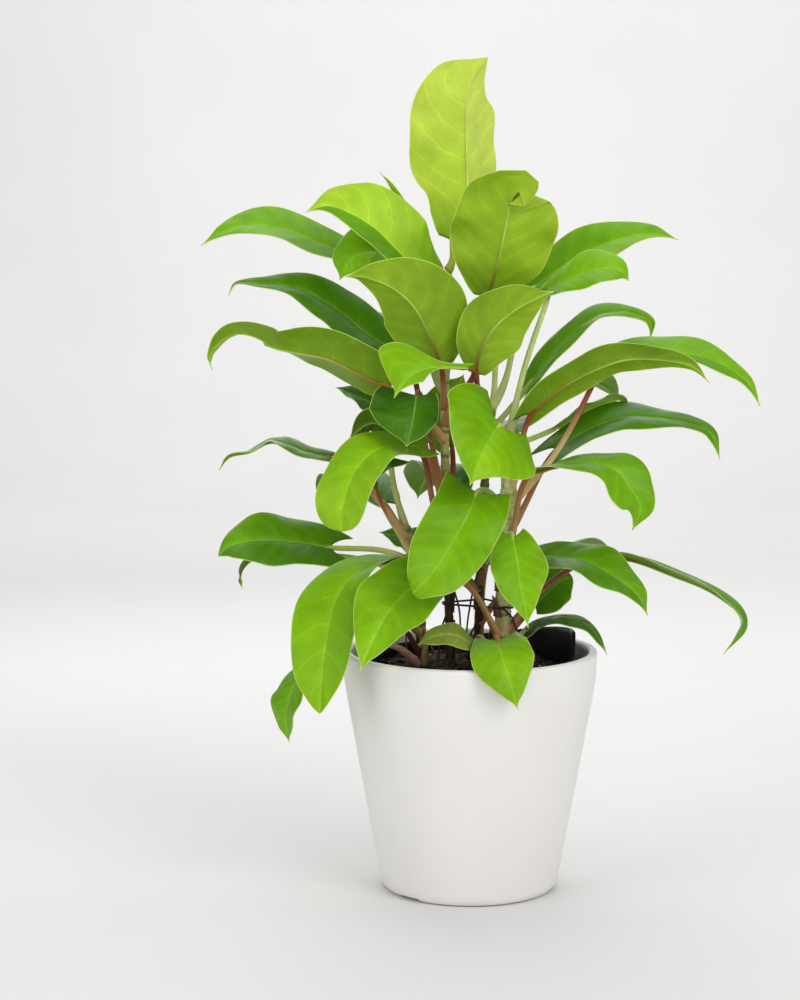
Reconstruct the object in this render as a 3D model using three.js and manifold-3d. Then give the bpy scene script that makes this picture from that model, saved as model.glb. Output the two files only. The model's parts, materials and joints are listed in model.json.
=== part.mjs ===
// Potted lemon lime philodendron: a white cover pot, the black nursery pot inside it, potting mix,
// four climbing stems and their leaves. Millimetres, +Z up, -Y is the front.
import * as THREE from "three";
import { mergeVertices } from "three/addons/utils/BufferGeometryUtils.js";
import Module from "manifold-3d";

const wasm = await Module();
wasm.setup();

// Driving dimensions
const RESTING_GAP = 0.3;
const POT_HEIGHT = 170;
const POT_RIM_RADIUS = 90;
const POT_COLLAR_RADIUS = 88;
const POT_COLLAR_HEIGHT = 27;
const POT_FOOT_RADIUS = 56;
const POT_HEEL_RADIUS = 64.5;
const POT_HEEL_HEIGHT = 12;
const POT_WALL = 4.7;
const POT_FLOOR = 6;
const POT_LIP = 6.7;
const FOOT_NOTCH_WIDTH = 19;
const FOOT_NOTCH_REACH = 30;
const FOOT_NOTCH_HEIGHT = 2.5;
const FOOT_NOTCH_ANGLES = [-133, -17, 107];
const NURSERY_BASE_RADIUS = 50;
const NURSERY_RIM_RADIUS = 74;
const NURSERY_RIM_HEIGHT = 165;
const NURSERY_WALL = 1.6;
const NURSERY_FLOOR = 2;
const NURSERY_FLAP_RISE = 18;
const NURSERY_FLAP_FRONT_ANGLE = 14;
const NURSERY_FLAP_BACK_ANGLE = 120;
const DRAIN_HOLE_RADIUS = 4;
const DRAIN_HOLE_CIRCLE = 32;
const DRAIN_HOLES = 6;
const DRAIN_HOLE_SIDES = 10;
const MIX_EDGE_HEIGHT = 156;
const MIX_MOUND = 4;
const MIX_CLEARANCE = 0.5;
const BLADE_THICKNESS = 0.9;
const BLADE_ACROSS = 4;
const BLADE_ALONG = 8;
const BLADE_LEAST_HALF_WIDTH = 0.6;
const LOBE_USUAL = 0.08;
const LOBE_SHARE_OF_BLADE = 0.35;
const PETIOLE_RADIUS = 2.3;
const PETIOLE_SIDES = 6;
const PETIOLE_STEPS = 8;
const PETIOLE_JOINS_BLADE_AT = 0.06;
const PETIOLE_OUTWARD_SHARE = 0.25;
const PETIOLE_UPWARD_SHARE = 0.3;
const STEM_SIDES = 8;
const STEM_STEPS_PER_SPAN = 3;
const POT_SEGMENTS = 64;
const NURSERY_SEGMENTS = 48;
const WIRE_RADIUS = 0.8;
const WIRE_SIDES = 6;
const WIRE_STEPS = 40;
const TIES = [
  { name: "wire_tie_lower", stems: ["middle", "back", "right"], height: 201 },
  { name: "wire_tie_upper", stems: ["middle", "back"], height: 224 },
];

const COLOURS = {
  pot: 0xe6e2de,
  nursery: 0x0d0d0f,
  mix: 0x2a2118,
  stem: 0x7d7148,
  youngLeaf: 0xc8e052,
  brightLeaf: 0x86c416,
  deepLeaf: 0x4f8a1c,
  tie: 0x101010,
};

// Stems: the route of each one from inside the mix to its top
const STEMS = {
  left: { radius: 3.4, route: [[-34, 0, 128], [-34, 2, 180], [-38, 5, 222], [-46, 8, 258]] },
  middle: {
    radius: 3.2,
    route: [[-14, 12, 128], [-15, 12, 200], [-17, 9, 270], [-18, 6, 340], [-16, 5, 405], [-16, 4, 438]],
  },
  back: { radius: 3.2, route: [[5, 26, 128], [7, 26, 210], [10, 24, 280], [15, 20, 345]] },
  right: { radius: 5.8, route: [[23, -4, 128], [23, -3, 190], [25, -2, 240], [27, -2, 285], [26, -3, 322]] },
};

// Leaves. Each has the stem and the height where its petiole leaves it, the midrib from the blade's
// base to its tip, the full width, the way the upper side faces and how far the halves fold up.
// widest, heel and rise shape the outline, blunt rounds the tip or below 0 sharpens it, lobe draws the
// base back beside the petiole, halves widens or narrows each half, faceTip twists the blade and via is
// a point that the petiole passes.
const LEAVES = [
  // top and upper left
  { name: "leaf_01", stem: "middle", at: 437, young: 1, width: 80, fold: 30,
    widest: 0.56, heel: 0.2, blunt: 0.25, lobe: 0, halves: [1, 1.03],
    midrib: [[-15, 4, 458], [-10, 1, 470], [-4, -3, 488], [-4, -3, 533], [-2, -1, 562], [11, 4, 583]],
    face: [-0.5, 0.85, 0.1] },
  { name: "leaf_02", stem: "middle", at: 372, young: 0.8, width: 74, fold: 12,
    widest: 0.5, heel: 0.25, blunt: 0.5, lobe: 0,
    midrib: [[11, -15, 418], [18, -28, 441], [23, -40, 465], [27, -50, 484], [32, -58, 490],
      [36, -62, 480]],
    face: [0, 0.75, 0.65] },
  { name: "leaf_03", stem: "middle", at: 398, young: 0.9, width: 64, fold: 12,
    widest: 0.5, heel: 0.4, lobe: 0, halves: [0.42, 1],
    midrib: [[-24, -8, 428], [-37, -14, 438], [-47, -18, 447], [-65, -20, 465], [-83, -20, 476],
      [-98, -18, 481], [-114, -13, 477]],
    face: [0.1, -0.8, 0.55] },
  { name: "leaf_04", stem: "middle", at: 384, young: 0.3, width: 42, fold: 10,
    midrib: [[-87, 24, 448], [-107, 26, 456], [-129, 26, 465], [-153, 26, 469], [-170, 25, 466],
      [-191, 22, 454]],
    face: [-0.1, -0.5, 0.85] },
  { name: "leaf_05", stem: "middle", at: 352, young: 0.6, width: 50, fold: 8,
    midrib: [[-40, -3, 441], [-55, -5, 447], [-71, -7, 450], [-84, -8, 444], [-91, -8, 430]],
    face: [0, -0.5, 0.85], faceTip: [-0.2, -0.9, 0.3] },
  { name: "leaf_06", stem: "middle", at: 340, young: 0.6, width: 62, fold: 14,
    widest: 0.42, heel: 0.3, blunt: -0.2, lobe: 0, halves: [1.12, 0.85],
    midrib: [[-20, -18, 371], [-29, -30, 394], [-39, -38, 413], [-51, -42, 424], [-63, -45, 430],
      [-75, -47, 433], [-86, -48, 433]],
    face: [-0.2, 0.8, 0.55] },
  { name: "leaf_07", stem: "middle", at: 280, young: 0.1, width: 43, fold: 12,
    widest: 0.35,
    midrib: [[-45, 12, 374], [-74, 16, 393], [-96, 18, 410], [-122, 18, 424], [-148, 16, 427],
      [-166, 14, 427], [-171, 14, 419]],
    face: [-0.3, -0.45, 0.85] },
  { name: "leaf_08", stem: "middle", at: 318, young: 0.4, width: 54, fold: 16,
    widest: 0.3,
    midrib: [[-56, -18, 356], [-80, -22, 368], [-99, -23, 377], [-114, -23, 380], [-138, -22, 385],
      [-144, -22, 390], [-160, -22, 394], [-170, -20, 390], [-177, -18, 383], [-181, -16, 376],
      [-179, -15, 368]],
    face: [-0.2, 0.7, 0.7], faceTip: [0.1, 0.1, 1] },
  // middle left and centre
  { name: "leaf_09", stem: "middle", at: 328, young: 0.5, width: 60, fold: 6,
    widest: 0.7, heel: 0.1, rise: 8, blunt: -0.6, lobe: 0.05, halves: [0.32, 1],
    midrib: [[0, -44, 371], [-14, -52, 372], [-27, -60, 372], [-37, -67, 369], [-44, -73, 363],
      [-51, -78, 353]],
    face: [-0.25, -0.9, 0.35] },
  { name: "leaf_10", stem: "right", at: 294, young: 0.6, width: 66, fold: 10,
    widest: 0.3, heel: 0.5, blunt: -0.2, lobe: 0.26, halves: [1.2, 1.3],
    midrib: [[19, -45, 332], [14, -58, 326], [9, -72, 318], [4, -84, 308], [0, -92, 296]],
    face: [0.5, -0.78, 0.35] },
  { name: "leaf_11", stem: "right", at: 262, young: 0.4, width: 52, fold: 8,
    widest: 0.35, heel: 0.9, blunt: 0.7,
    midrib: [[4, -50, 287], [0, -62, 276], [-8, -73, 262], [-16, -85, 250], [-25, -96, 238],
      [-34, -102, 229], [-38, -99, 224]],
    face: [0.25, -0.75, 0.6] },
  { name: "leaf_12", stem: "right", at: 176, young: 0.5, width: 54, fold: 10,
    widest: 0.35, heel: 0.6, blunt: -0.2,
    midrib: [[-30, -58, 230], [-43, -70, 221], [-55, -84, 209], [-66, -98, 189], [-73, -108, 173]],
    face: [-0.1, -0.8, 0.6], via: [-5, -44, 224] },
  { name: "leaf_13", stem: "left", at: 214, young: 0.5, width: 44, fold: 12,
    widest: 0.52, heel: 0.2, blunt: 0.6, halves: [0.95, 1.15],
    midrib: [[-47, -20, 238], [-66, -32, 235], [-82, -45, 227], [-92, -57, 212], [-97, -70, 188],
      [-100, -80, 162], [-101, -84, 140]],
    face: [0, 0.2, 1], faceTip: [-0.2, -1, 0.1] },
  { name: "leaf_14", stem: "left", at: 180, young: 0.2, width: 40, fold: 10,
    midrib: [[-116, -28, 161], [-123, -38, 147], [-127, -42, 130], [-125, -43, 111]],
    face: [-0.8, -0.5, 0.3] },
  { name: "leaf_15", stem: "left", at: 226, young: 0.1, width: 50, fold: 10,
    heel: 0.5, lobe: 0.2, blunt: 0.4,
    midrib: [[-98, 4, 241], [-116, -2, 245], [-137, -8, 248], [-154, -12, 248], [-169, -12, 244],
      [-177, -10, 237]],
    face: [-0.1, -0.65, 0.75] },
  { name: "leaf_16", stem: "left", at: 210, young: 0.2, width: 30, fold: 8,
    midrib: [[-100, 18, 234], [-139, 20, 236], [-157, 20, 230], [-164, 18, 221], [-163, 14, 210]],
    face: [-0.2, 0.3, 0.93] },
  { name: "leaf_17", stem: "left", at: 248, young: 0.2, width: 30, fold: 8,
    midrib: [[-99, 10, 305], [-117, 12, 309], [-130, 12, 314], [-142, 12, 316], [-156, 10, 309],
      [-171, 9, 305], [-178, 8, 296]],
    face: [0, -0.4, 0.9], faceTip: [0, 0.3, 0.9] },
  { name: "leaf_18", stem: "middle", at: 236, young: 0.5, width: 44, fold: 12,
    widest: 0.66, heel: 0.3, blunt: 1,
    midrib: [[-31, -25, 315], [-49, -40, 318], [-65, -55, 315], [-76, -66, 305], [-83, -76, 289],
      [-86, -80, 274], [-86, -80, 263]],
    face: [-0.4, -0.75, 0.5] },
  { name: "leaf_19", stem: "middle", at: 250, young: 0, width: 36, fold: 8,
    midrib: [[-40, -2, 318], [-54, -4, 327], [-70, -6, 331], [-85, -8, 320]],
    face: [0, 0.6, 0.8] },
  { name: "leaf_20", stem: "middle", at: 272, young: 0, width: 62, fold: 8,
    heel: 0.8, halves: [0.55, 1],
    midrib: [[-37, -40, 352], [-38, -48, 343], [-40, -56, 331], [-43, -62, 319]],
    face: [0.1, -0.5, 0.85] },
  { name: "leaf_21", stem: "left", at: 247, young: 0, width: 34, fold: 8,
    midrib: [[-56, 22, 335], [-74, 24, 345], [-96, 24, 354]],
    face: [-0.2, -0.3, 0.9], via: [-55, 20, 288] },
  { name: "leaf_22", stem: "left", at: 234, young: 0.2, width: 20, fold: 10,
    midrib: [[-65, -26, 288], [-66, -30, 297], [-55, -32, 303], [-40, -32, 306]],
    face: [-0.6, -0.3, 0.7] },
  { name: "leaf_23", stem: "back", at: 208, young: 0, width: 30, fold: 8,
    midrib: [[-26, 38, 233], [-46, 42, 243], [-66, 44, 248]],
    face: [-0.2, -0.4, 0.9] },
  // lower front
  { name: "leaf_24", stem: "right", at: 226, young: 0.5, width: 40, fold: 12,
    heel: 0.4, blunt: -0.3,
    midrib: [[29, -55, 257], [32, -68, 242], [34, -78, 226], [37, -84, 213], [39, -88, 200]],
    face: [0.1, -0.8, 0.58] },
  { name: "leaf_25", stem: "right", at: 168, young: 0.5, width: 43, fold: 8,
    heel: 0.65, blunt: -0.2, lobe: 0.15,
    midrib: [[19, -64, 187], [21, -82, 182], [25, -94, 170], [29, -99, 158], [32, -101, 147]],
    face: [-0.05, -0.75, 0.65] },
  { name: "leaf_26", stem: "back", at: 166, young: 0.1, width: 22, fold: 4,
    midrib: [[2, -58, 183], [-9, -64, 190], [-19, -66, 191], [-29, -66, 188], [-35, -64, 184]],
    face: [0, -0.6, 0.8] },
  // right side
  { name: "leaf_27", stem: "right", at: 214, young: 0.3, width: 44, fold: 8,
    midrib: [[46, -20, 240], [62, -28, 240], [78, -38, 239], [100, -48, 228], [114, -54, 217],
      [121, -58, 204]],
    face: [0.1, -0.45, 0.9] },
  { name: "leaf_28", stem: "right", at: 180, young: 0.3, width: 40, fold: 12,
    midrib: [[78, 10, 230], [109, 12, 234], [144, 12, 222], [175, 10, 208], [193, 8, 190],
      [180, 4, 166]],
    face: [0.1, 0.3, 0.95], faceTip: [0.9, -0.3, 0.3] },
  { name: "leaf_29", stem: "right", at: 172, young: 0, width: 32, fold: 8,
    blunt: 0.8,
    midrib: [[46, 18, 198], [57, 19, 209], [65, 20, 216], [73, 22, 219]],
    face: [0.2, -0.7, 0.65] },
  { name: "leaf_30", stem: "right", at: 163, young: 0, width: 24, fold: -8,
    midrib: [[38, 20, 178], [50, 20, 187], [68, 18, 191], [86, 14, 184], [98, 8, 165]],
    face: [0.2, -0.2, 0.95] },
  { name: "leaf_31", stem: "back", at: 340, young: 0.5, width: 44, fold: 12,
    midrib: [[42, 4, 424], [63, 6, 439], [86, 8, 452], [109, 8, 460], [128, 6, 462], [144, 4, 458]],
    face: [0.1, -0.55, 0.83] },
  { name: "leaf_32", stem: "right", at: 318, young: 0.4, width: 40, fold: 10, widest: 0.6, heel: 0.2,
    midrib: [[52, -20, 423], [69, -26, 432], [87, -30, 438], [101, -30, 437], [108, -28, 430]],
    face: [-0.1, -0.6, 0.8], via: [37, -10, 368] },
  { name: "leaf_33", stem: "right", at: 308, young: 0.5, width: 48, fold: 14,
    widest: 0.45, heel: 0.25, lobe: 0,
    midrib: [[4, -26, 366], [7, -32, 382], [16, -36, 398], [31, -38, 411], [56, -38, 423]],
    face: [0.3, 0.75, 0.6] },
  { name: "leaf_34", stem: "back", at: 322, young: 0.3, width: 30, fold: 14,
    midrib: [[41, 10, 356], [58, 14, 379], [75, 16, 396], [92, 16, 406], [112, 14, 407], [126, 10, 400],
      [125, 8, 387]],
    face: [-0.2, -0.35, 0.9] },
  { name: "leaf_35", stem: "right", at: 270, young: 0.4, width: 44, fold: 10,
    midrib: [[83, 8, 362], [106, 9, 374], [127, 10, 380], [155, 10, 378], [176, 9, 371], [193, 8, 359],
      [203, 6, 342]],
    face: [0.1, -0.4, 0.9], via: [60, -9, 311] },
  { name: "leaf_36", stem: "right", at: 284, young: 0.4, width: 38, fold: 10,
    midrib: [[40, -22, 337], [60, -30, 356], [80, -34, 368], [105, -36, 377], [128, -36, 377],
      [151, -34, 372], [163, -32, 361]],
    face: [0, 0.6, 0.8] },
  { name: "leaf_37", stem: "right", at: 252, young: 0.2, width: 46, fold: 8,
    widest: 0.3, heel: 0.5, lobe: 0.15,
    midrib: [[60, 10, 311], [74, 12, 320], [90, 13, 328], [108, 13, 334], [126, 11, 334], [153, 8, 330],
      [168, 5, 323], [175, 2, 305]],
    face: [0, -0.33, 0.94] },
  { name: "leaf_38", stem: "right", at: 240, young: 0.3, width: 42, fold: 8,
    widest: 0.6, blunt: 0,
    midrib: [[41, -25, 298], [62, -30, 304], [83, -36, 306], [99, -42, 302], [110, -43, 288],
      [116, -43, 276], [111, -42, 260]],
    face: [0, 0.2, 1], faceTip: [0.4, -1, 0.2] },
  { name: "leaf_39", stem: "middle", at: 246, young: 0, width: 46, fold: 8,
    midrib: [[-13, 22, 312], [-15, 24, 329], [-12, 25, 346], [-5, 26, 363]],
    face: [0, 0.85, 0.5] },
  { name: "leaf_40", stem: "back", at: 296, young: 0.4, width: 30, fold: 8,
    blunt: 0.5,
    midrib: [[61, 34, 324], [80, 37, 336], [97, 39, 343], [108, 39, 345], [113, 38, 337]],
    face: [0.1, 0.3, 0.95] },
  // back
  { name: "leaf_41", stem: "back", at: 268, young: 0.2, width: 56, fold: 10,
    midrib: [[12, 52, 304], [20, 74, 322], [28, 98, 324], [34, 120, 310]],
    face: [0, 0.3, 0.95] },
  { name: "leaf_42", stem: "middle", at: 354, young: 0.4, width: 54, fold: 10,
    midrib: [[-30, 36, 380], [-42, 58, 396], [-56, 84, 398], [-68, 108, 384]],
    face: [0, 0.3, 0.95] },
  { name: "leaf_43", stem: "back", at: 304, young: 0.3, width: 52, fold: 10,
    midrib: [[46, 54, 342], [66, 68, 356], [90, 82, 356], [112, 94, 340]],
    face: [0.2, 0.3, 0.95] },
  { name: "leaf_44", stem: "left", at: 236, young: 0.1, width: 50, fold: 10,
    midrib: [[-62, 34, 270], [-80, 58, 284], [-98, 80, 280], [-112, 98, 262]],
    face: [-0.2, 0.3, 0.95] },
  { name: "leaf_45", stem: "back", at: 172, young: 0.1, width: 50, fold: 10,
    midrib: [[12, 58, 222], [18, 80, 230], [24, 100, 222], [30, 118, 202]],
    face: [0.1, 0.3, 0.95] },
  { name: "leaf_46", stem: "back", at: 238, young: 0.1, width: 48, fold: 10,
    midrib: [[-10, 56, 280], [-22, 80, 292], [-32, 102, 284], [-40, 122, 264]],
    face: [-0.1, 0.3, 0.95] },
  { name: "leaf_47", stem: "back", at: 184, young: 0.2, width: 46, fold: 10,
    midrib: [[50, 52, 226], [74, 66, 236], [96, 78, 228], [114, 86, 208]],
    face: [0.2, 0.3, 0.95] },
  { name: "leaf_48", stem: "back", at: 332, young: 0.6, width: 52, fold: 10,
    midrib: [[20, 40, 396], [28, 56, 418], [38, 76, 430], [50, 100, 424]],
    face: [0, 0.35, 0.95] },
  // the rolled new leaf at the top
  { name: "leaf_49", stem: "middle", at: 420, young: 1, width: 9, fold: 55, lobe: 0,
    midrib: [[-38, 12, 468], [-48, 15, 483], [-56, 16, 495], [-64, 14, 505]],
    face: [-0.4, -0.5, 0.7] },
];

function solidOf(geometry) {
  geometry.deleteAttribute("normal");
  geometry.deleteAttribute("uv");
  const merged = mergeVertices(geometry, 1e-4);
  const vertProperties = new Float32Array(merged.attributes.position.array);
  const triVerts = new Uint32Array(merged.index.array);
  return new wasm.Manifold(new wasm.Mesh({ numProp: 3, vertProperties, triVerts }));
}

function geometryOf(solid) {
  const mesh = solid.getMesh();
  const geometry = new THREE.BufferGeometry();
  geometry.setAttribute("position", new THREE.BufferAttribute(new Float32Array(mesh.vertProperties), 3));
  geometry.setIndex(new THREE.BufferAttribute(new Uint32Array(mesh.triVerts), 1));
  geometry.computeVertexNormals();
  return geometry;
}

function latheSolid(profile, segments) {
  const points = profile.map(([radius, height]) => new THREE.Vector2(radius, height));
  const geometry = new THREE.LatheGeometry(points, segments);
  geometry.rotateX(Math.PI / 2);
  return solidOf(geometry);
}

function discShape(radius, sides) {
  const shape = new THREE.Shape();
  for (let i = 0; i < sides; i += 1) {
    const angle = (2 * Math.PI * i) / sides;
    const x = radius * Math.cos(angle);
    const y = radius * Math.sin(angle);
    if (i === 0) shape.moveTo(x, y);
    else shape.lineTo(x, y);
  }
  shape.closePath();
  return shape;
}

function curveThrough(points) {
  return new THREE.CatmullRomCurve3(points.map((p) => new THREE.Vector3(...p)), false, "centripetal");
}

function tubeSolid(curve, radius, sides, steps) {
  const settings = { steps, bevelEnabled: false, extrudePath: curve };
  return solidOf(new THREE.ExtrudeGeometry(discShape(radius, sides), settings));
}

// The same route made longer at both ends, for the socket that a stem needs in its neighbours
function lengthened(route, extra) {
  const points = route.map((p) => new THREE.Vector3(...p));
  const last = points.length - 1;
  const downwards = points[0].clone().sub(points[1]).setLength(extra);
  const upwards = points[last].clone().sub(points[last - 1]).setLength(extra);
  points[0].add(downwards);
  points[last].add(upwards);
  return points.map((p) => p.toArray());
}

function stemSolid({ route, radius }, clearance = 0) {
  const path = clearance > 0 ? lengthened(route, clearance) : route;
  const steps = STEM_STEPS_PER_SPAN * (route.length - 1);
  return tubeSolid(curveThrough(path), radius + clearance, STEM_SIDES, steps);
}

function stemPointAt({ route }, height) {
  const curve = curveThrough(route);
  let low = 0;
  let high = 1;
  for (let i = 0; i < 30; i += 1) {
    const middle = (low + high) / 2;
    if (curve.getPoint(middle).z < height) low = middle;
    else high = middle;
  }
  return curve.getPoint(low);
}

// Half the blade's width at t, from 0 at the base to 1 at the tip, as a share of the greatest
function bladeOutline(t, { widest = 0.42, heel = 0.35, rise = 0.8, blunt = 0 }) {
  if (t < widest) return heel + (1 - heel) * Math.sin((0.5 * Math.PI * t) / widest) ** rise;
  const beyond = (t - widest) / (1 - widest);
  return (1 - beyond ** (1.9 + 1.3 * blunt)) ** (1.15 - 0.65 * blunt);
}

function bladeSolid(leaf) {
  const curve = curveThrough(leaf.midrib);
  const length = curve.getLength();
  const faceBase = new THREE.Vector3(...leaf.face).normalize();
  const faceTip = new THREE.Vector3(...(leaf.faceTip ?? leaf.face)).normalize();
  const fold = THREE.MathUtils.degToRad(leaf.fold);
  const geometry = new THREE.BoxGeometry(1, 1, 1, BLADE_ACROSS, BLADE_ALONG, 1);
  const place = geometry.attributes.position;
  for (let i = 0; i < place.count; i += 1) {
    const t = place.getY(i) + 0.5;
    const across = 2 * place.getX(i);
    const through = place.getZ(i) * BLADE_THICKNESS;
    const along = curve.getTangentAt(t);
    const up = faceBase.clone().lerp(faceTip, t);
    up.addScaledVector(along, -up.dot(along)).normalize();
    const side = along.clone().cross(up);
    const [firstHalf, secondHalf] = leaf.halves ?? [1, 1];
    const ownHalf = 0.5 * leaf.width * (across < 0 ? firstHalf : secondHalf);
    const half = Math.max(ownHalf * bladeOutline(t, leaf), BLADE_LEAST_HALF_WIDTH);
    const reach = across * half;
    const lobeFade = Math.max(0, 1 - t / LOBE_SHARE_OF_BLADE);
    const lobe = (leaf.lobe ?? LOBE_USUAL) * length * across * across * lobeFade;
    const point = curve.getPointAt(t);
    point.addScaledVector(side, reach * Math.cos(fold));
    point.addScaledVector(up, Math.abs(reach) * Math.sin(fold) + through);
    point.addScaledVector(along, -lobe);
    place.setXYZ(i, point.x, point.y, point.z);
  }
  return solidOf(geometry);
}

function petioleCurve(leaf) {
  const start = stemPointAt(STEMS[leaf.stem], leaf.at);
  const blade = curveThrough(leaf.midrib);
  const end = blade.getPointAt(PETIOLE_JOINS_BLADE_AT);
  if (leaf.via) return curveThrough([start.toArray(), leaf.via, end.toArray()]);
  const span = start.distanceTo(end);
  const leaving = end.clone().sub(start).setZ(0).setLength(PETIOLE_OUTWARD_SHARE * span);
  leaving.z = PETIOLE_UPWARD_SHARE * span;
  const arriving = blade.getTangentAt(0).setLength(PETIOLE_UPWARD_SHARE * span);
  const firstBend = start.clone().add(leaving);
  const secondBend = end.clone().sub(arriving);
  return new THREE.CubicBezierCurve3(start, firstBend, secondBend, end);
}

function leafSolid(leaf) {
  const petiole = tubeSolid(petioleCurve(leaf), PETIOLE_RADIUS, PETIOLE_SIDES, PETIOLE_STEPS);
  const socket = stemSolid(STEMS[leaf.stem], RESTING_GAP);
  return bladeSolid(leaf).add(petiole).subtract(socket);
}

// A wire pulled tight round several stems: each step round it lies on the stem that is furthest that way
function tieSolid({ stems, height }) {
  const ring = new THREE.TorusGeometry(1, WIRE_RADIUS / 2, WIRE_SIDES, WIRE_STEPS);
  const posts = stems.map((name) => {
    return { middle: stemPointAt(STEMS[name], height), radius: STEMS[name].radius };
  });
  const place = ring.attributes.position;
  for (let i = 0; i < place.count; i += 1) {
    const x = place.getX(i);
    const y = place.getY(i);
    const distance = Math.hypot(x, y);
    const out = new THREE.Vector3(x / distance, y / distance, 0);
    const reach = (post) => post.middle.dot(out) + post.radius;
    const furthest = posts.reduce((best, post) => (reach(post) > reach(best) ? post : best));
    const wireMiddle = furthest.radius + RESTING_GAP + WIRE_RADIUS;
    const offset = wireMiddle + 2 * (distance - 1);
    const at = furthest.middle;
    place.setXYZ(i, at.x + out.x * offset, at.y + out.y * offset, height + 2 * place.getZ(i));
  }
  return solidOf(ring);
}

function coverPotSolid() {
  const collarBase = POT_HEIGHT - POT_COLLAR_HEIGHT;
  const innerRim = POT_RIM_RADIUS - POT_LIP;
  const outside = [
    [0, 0],
    [POT_FOOT_RADIUS, 0],
    [POT_FOOT_RADIUS + 4.5, 1.5],
    [POT_HEEL_RADIUS - 1.2, 6],
    [POT_HEEL_RADIUS, POT_HEEL_HEIGHT],
    [POT_COLLAR_RADIUS, collarBase],
    [POT_COLLAR_RADIUS + 1.1, collarBase + 8],
    [POT_RIM_RADIUS, POT_HEIGHT - 3],
    [POT_RIM_RADIUS - 0.8, POT_HEIGHT - 0.8],
    [POT_RIM_RADIUS - 2.4, POT_HEIGHT],
  ];
  const inside = [
    [innerRim + 2.6, POT_HEIGHT - 0.2],
    [innerRim + 0.7, POT_HEIGHT - 1.8],
    [innerRim, POT_HEIGHT - 5],
    [POT_COLLAR_RADIUS - POT_WALL, collarBase],
    [POT_HEEL_RADIUS - POT_WALL, POT_HEEL_HEIGHT],
    [POT_HEEL_RADIUS - POT_WALL - 5, POT_FLOOR],
    [0, POT_FLOOR],
  ];
  let pot = latheSolid([...outside, ...inside], POT_SEGMENTS);
  for (const degrees of FOOT_NOTCH_ANGLES) {
    const notch = new THREE.BoxGeometry(FOOT_NOTCH_REACH, FOOT_NOTCH_WIDTH, 2 * FOOT_NOTCH_HEIGHT);
    notch.translate(POT_FOOT_RADIUS + 3, 0, 0);
    notch.rotateZ(THREE.MathUtils.degToRad(degrees));
    pot = pot.subtract(solidOf(notch));
  }
  return pot;
}

// How far the soft nursery pot's rim is pushed up, by the angle round it: a flap on the right that ends
// steeply at the front and fades out towards the back
function flapRise(angle) {
  const degrees = THREE.MathUtils.radToDeg(angle);
  if (degrees < 0) return NURSERY_FLAP_RISE * Math.max(0, 1 + degrees / NURSERY_FLAP_FRONT_ANGLE);
  const share = Math.min(1, degrees / NURSERY_FLAP_BACK_ANGLE);
  return NURSERY_FLAP_RISE * (0.5 + 0.5 * Math.cos(Math.PI * share));
}

function nurseryRadiusAt(height) {
  const base = POT_FLOOR + RESTING_GAP;
  const share = (height - base) / (NURSERY_RIM_HEIGHT - base);
  return NURSERY_BASE_RADIUS + share * (NURSERY_RIM_RADIUS - NURSERY_BASE_RADIUS);
}

function nurseryPotSolid() {
  const base = POT_FLOOR + RESTING_GAP;
  const floorTop = base + NURSERY_FLOOR;
  const flapStart = MIX_EDGE_HEIGHT + 2;
  const profile = [
    [0, base],
    [NURSERY_BASE_RADIUS, base],
    [nurseryRadiusAt(flapStart), flapStart],
    [NURSERY_RIM_RADIUS, NURSERY_RIM_HEIGHT],
    [NURSERY_RIM_RADIUS - NURSERY_WALL, NURSERY_RIM_HEIGHT],
    [nurseryRadiusAt(flapStart) - NURSERY_WALL, flapStart],
    [NURSERY_BASE_RADIUS - NURSERY_WALL, floorTop],
    [0, floorTop],
  ];
  const points = profile.map(([radius, height]) => new THREE.Vector2(radius, height));
  const geometry = new THREE.LatheGeometry(points, NURSERY_SEGMENTS);
  geometry.rotateX(Math.PI / 2);
  const place = geometry.attributes.position;
  for (let i = 0; i < place.count; i += 1) {
    const height = place.getZ(i);
    const angle = Math.atan2(place.getY(i), place.getX(i));
    if (height > NURSERY_RIM_HEIGHT - 1) place.setZ(i, height + flapRise(angle));
  }
  let pot = solidOf(geometry);
  const holeDepth = 6 * NURSERY_FLOOR;
  for (let i = 0; i < DRAIN_HOLES; i += 1) {
    const radius = DRAIN_HOLE_RADIUS;
    const hole = new THREE.CylinderGeometry(radius, radius, holeDepth, DRAIN_HOLE_SIDES);
    hole.rotateX(Math.PI / 2);
    hole.translate(DRAIN_HOLE_CIRCLE, 0, base);
    hole.rotateZ((2 * Math.PI * i) / DRAIN_HOLES);
    pot = pot.subtract(solidOf(hole));
  }
  return pot;
}

function pottingMixSolid() {
  const base = POT_FLOOR + RESTING_GAP + NURSERY_FLOOR + RESTING_GAP;
  const clear = NURSERY_WALL + MIX_CLEARANCE;
  const edgeRadius = nurseryRadiusAt(MIX_EDGE_HEIGHT) - clear;
  const profile = [
    [0, base],
    [nurseryRadiusAt(base) - clear, base],
    [edgeRadius, MIX_EDGE_HEIGHT],
    [0.7 * edgeRadius, MIX_EDGE_HEIGHT + 0.6 * MIX_MOUND],
    [0.35 * edgeRadius, MIX_EDGE_HEIGHT + MIX_MOUND],
    [0, MIX_EDGE_HEIGHT + MIX_MOUND],
  ];
  let mix = latheSolid(profile, NURSERY_SEGMENTS);
  for (const stem of Object.values(STEMS)) mix = mix.subtract(stemSolid(stem, RESTING_GAP));
  return mix;
}

function material(colour, roughness) {
  return new THREE.MeshStandardMaterial({ color: colour, roughness, metalness: 0 });
}

function addPiece(group, name, solid, look) {
  const mesh = new THREE.Mesh(geometryOf(solid), look);
  mesh.name = name;
  group.add(mesh);
}

function leafColour(young) {
  const deep = new THREE.Color(COLOURS.deepLeaf);
  const bright = new THREE.Color(COLOURS.brightLeaf);
  const pale = new THREE.Color(COLOURS.youngLeaf);
  return young < 0.5 ? deep.lerp(bright, 2 * young) : bright.lerp(pale, 2 * young - 1);
}

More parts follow.
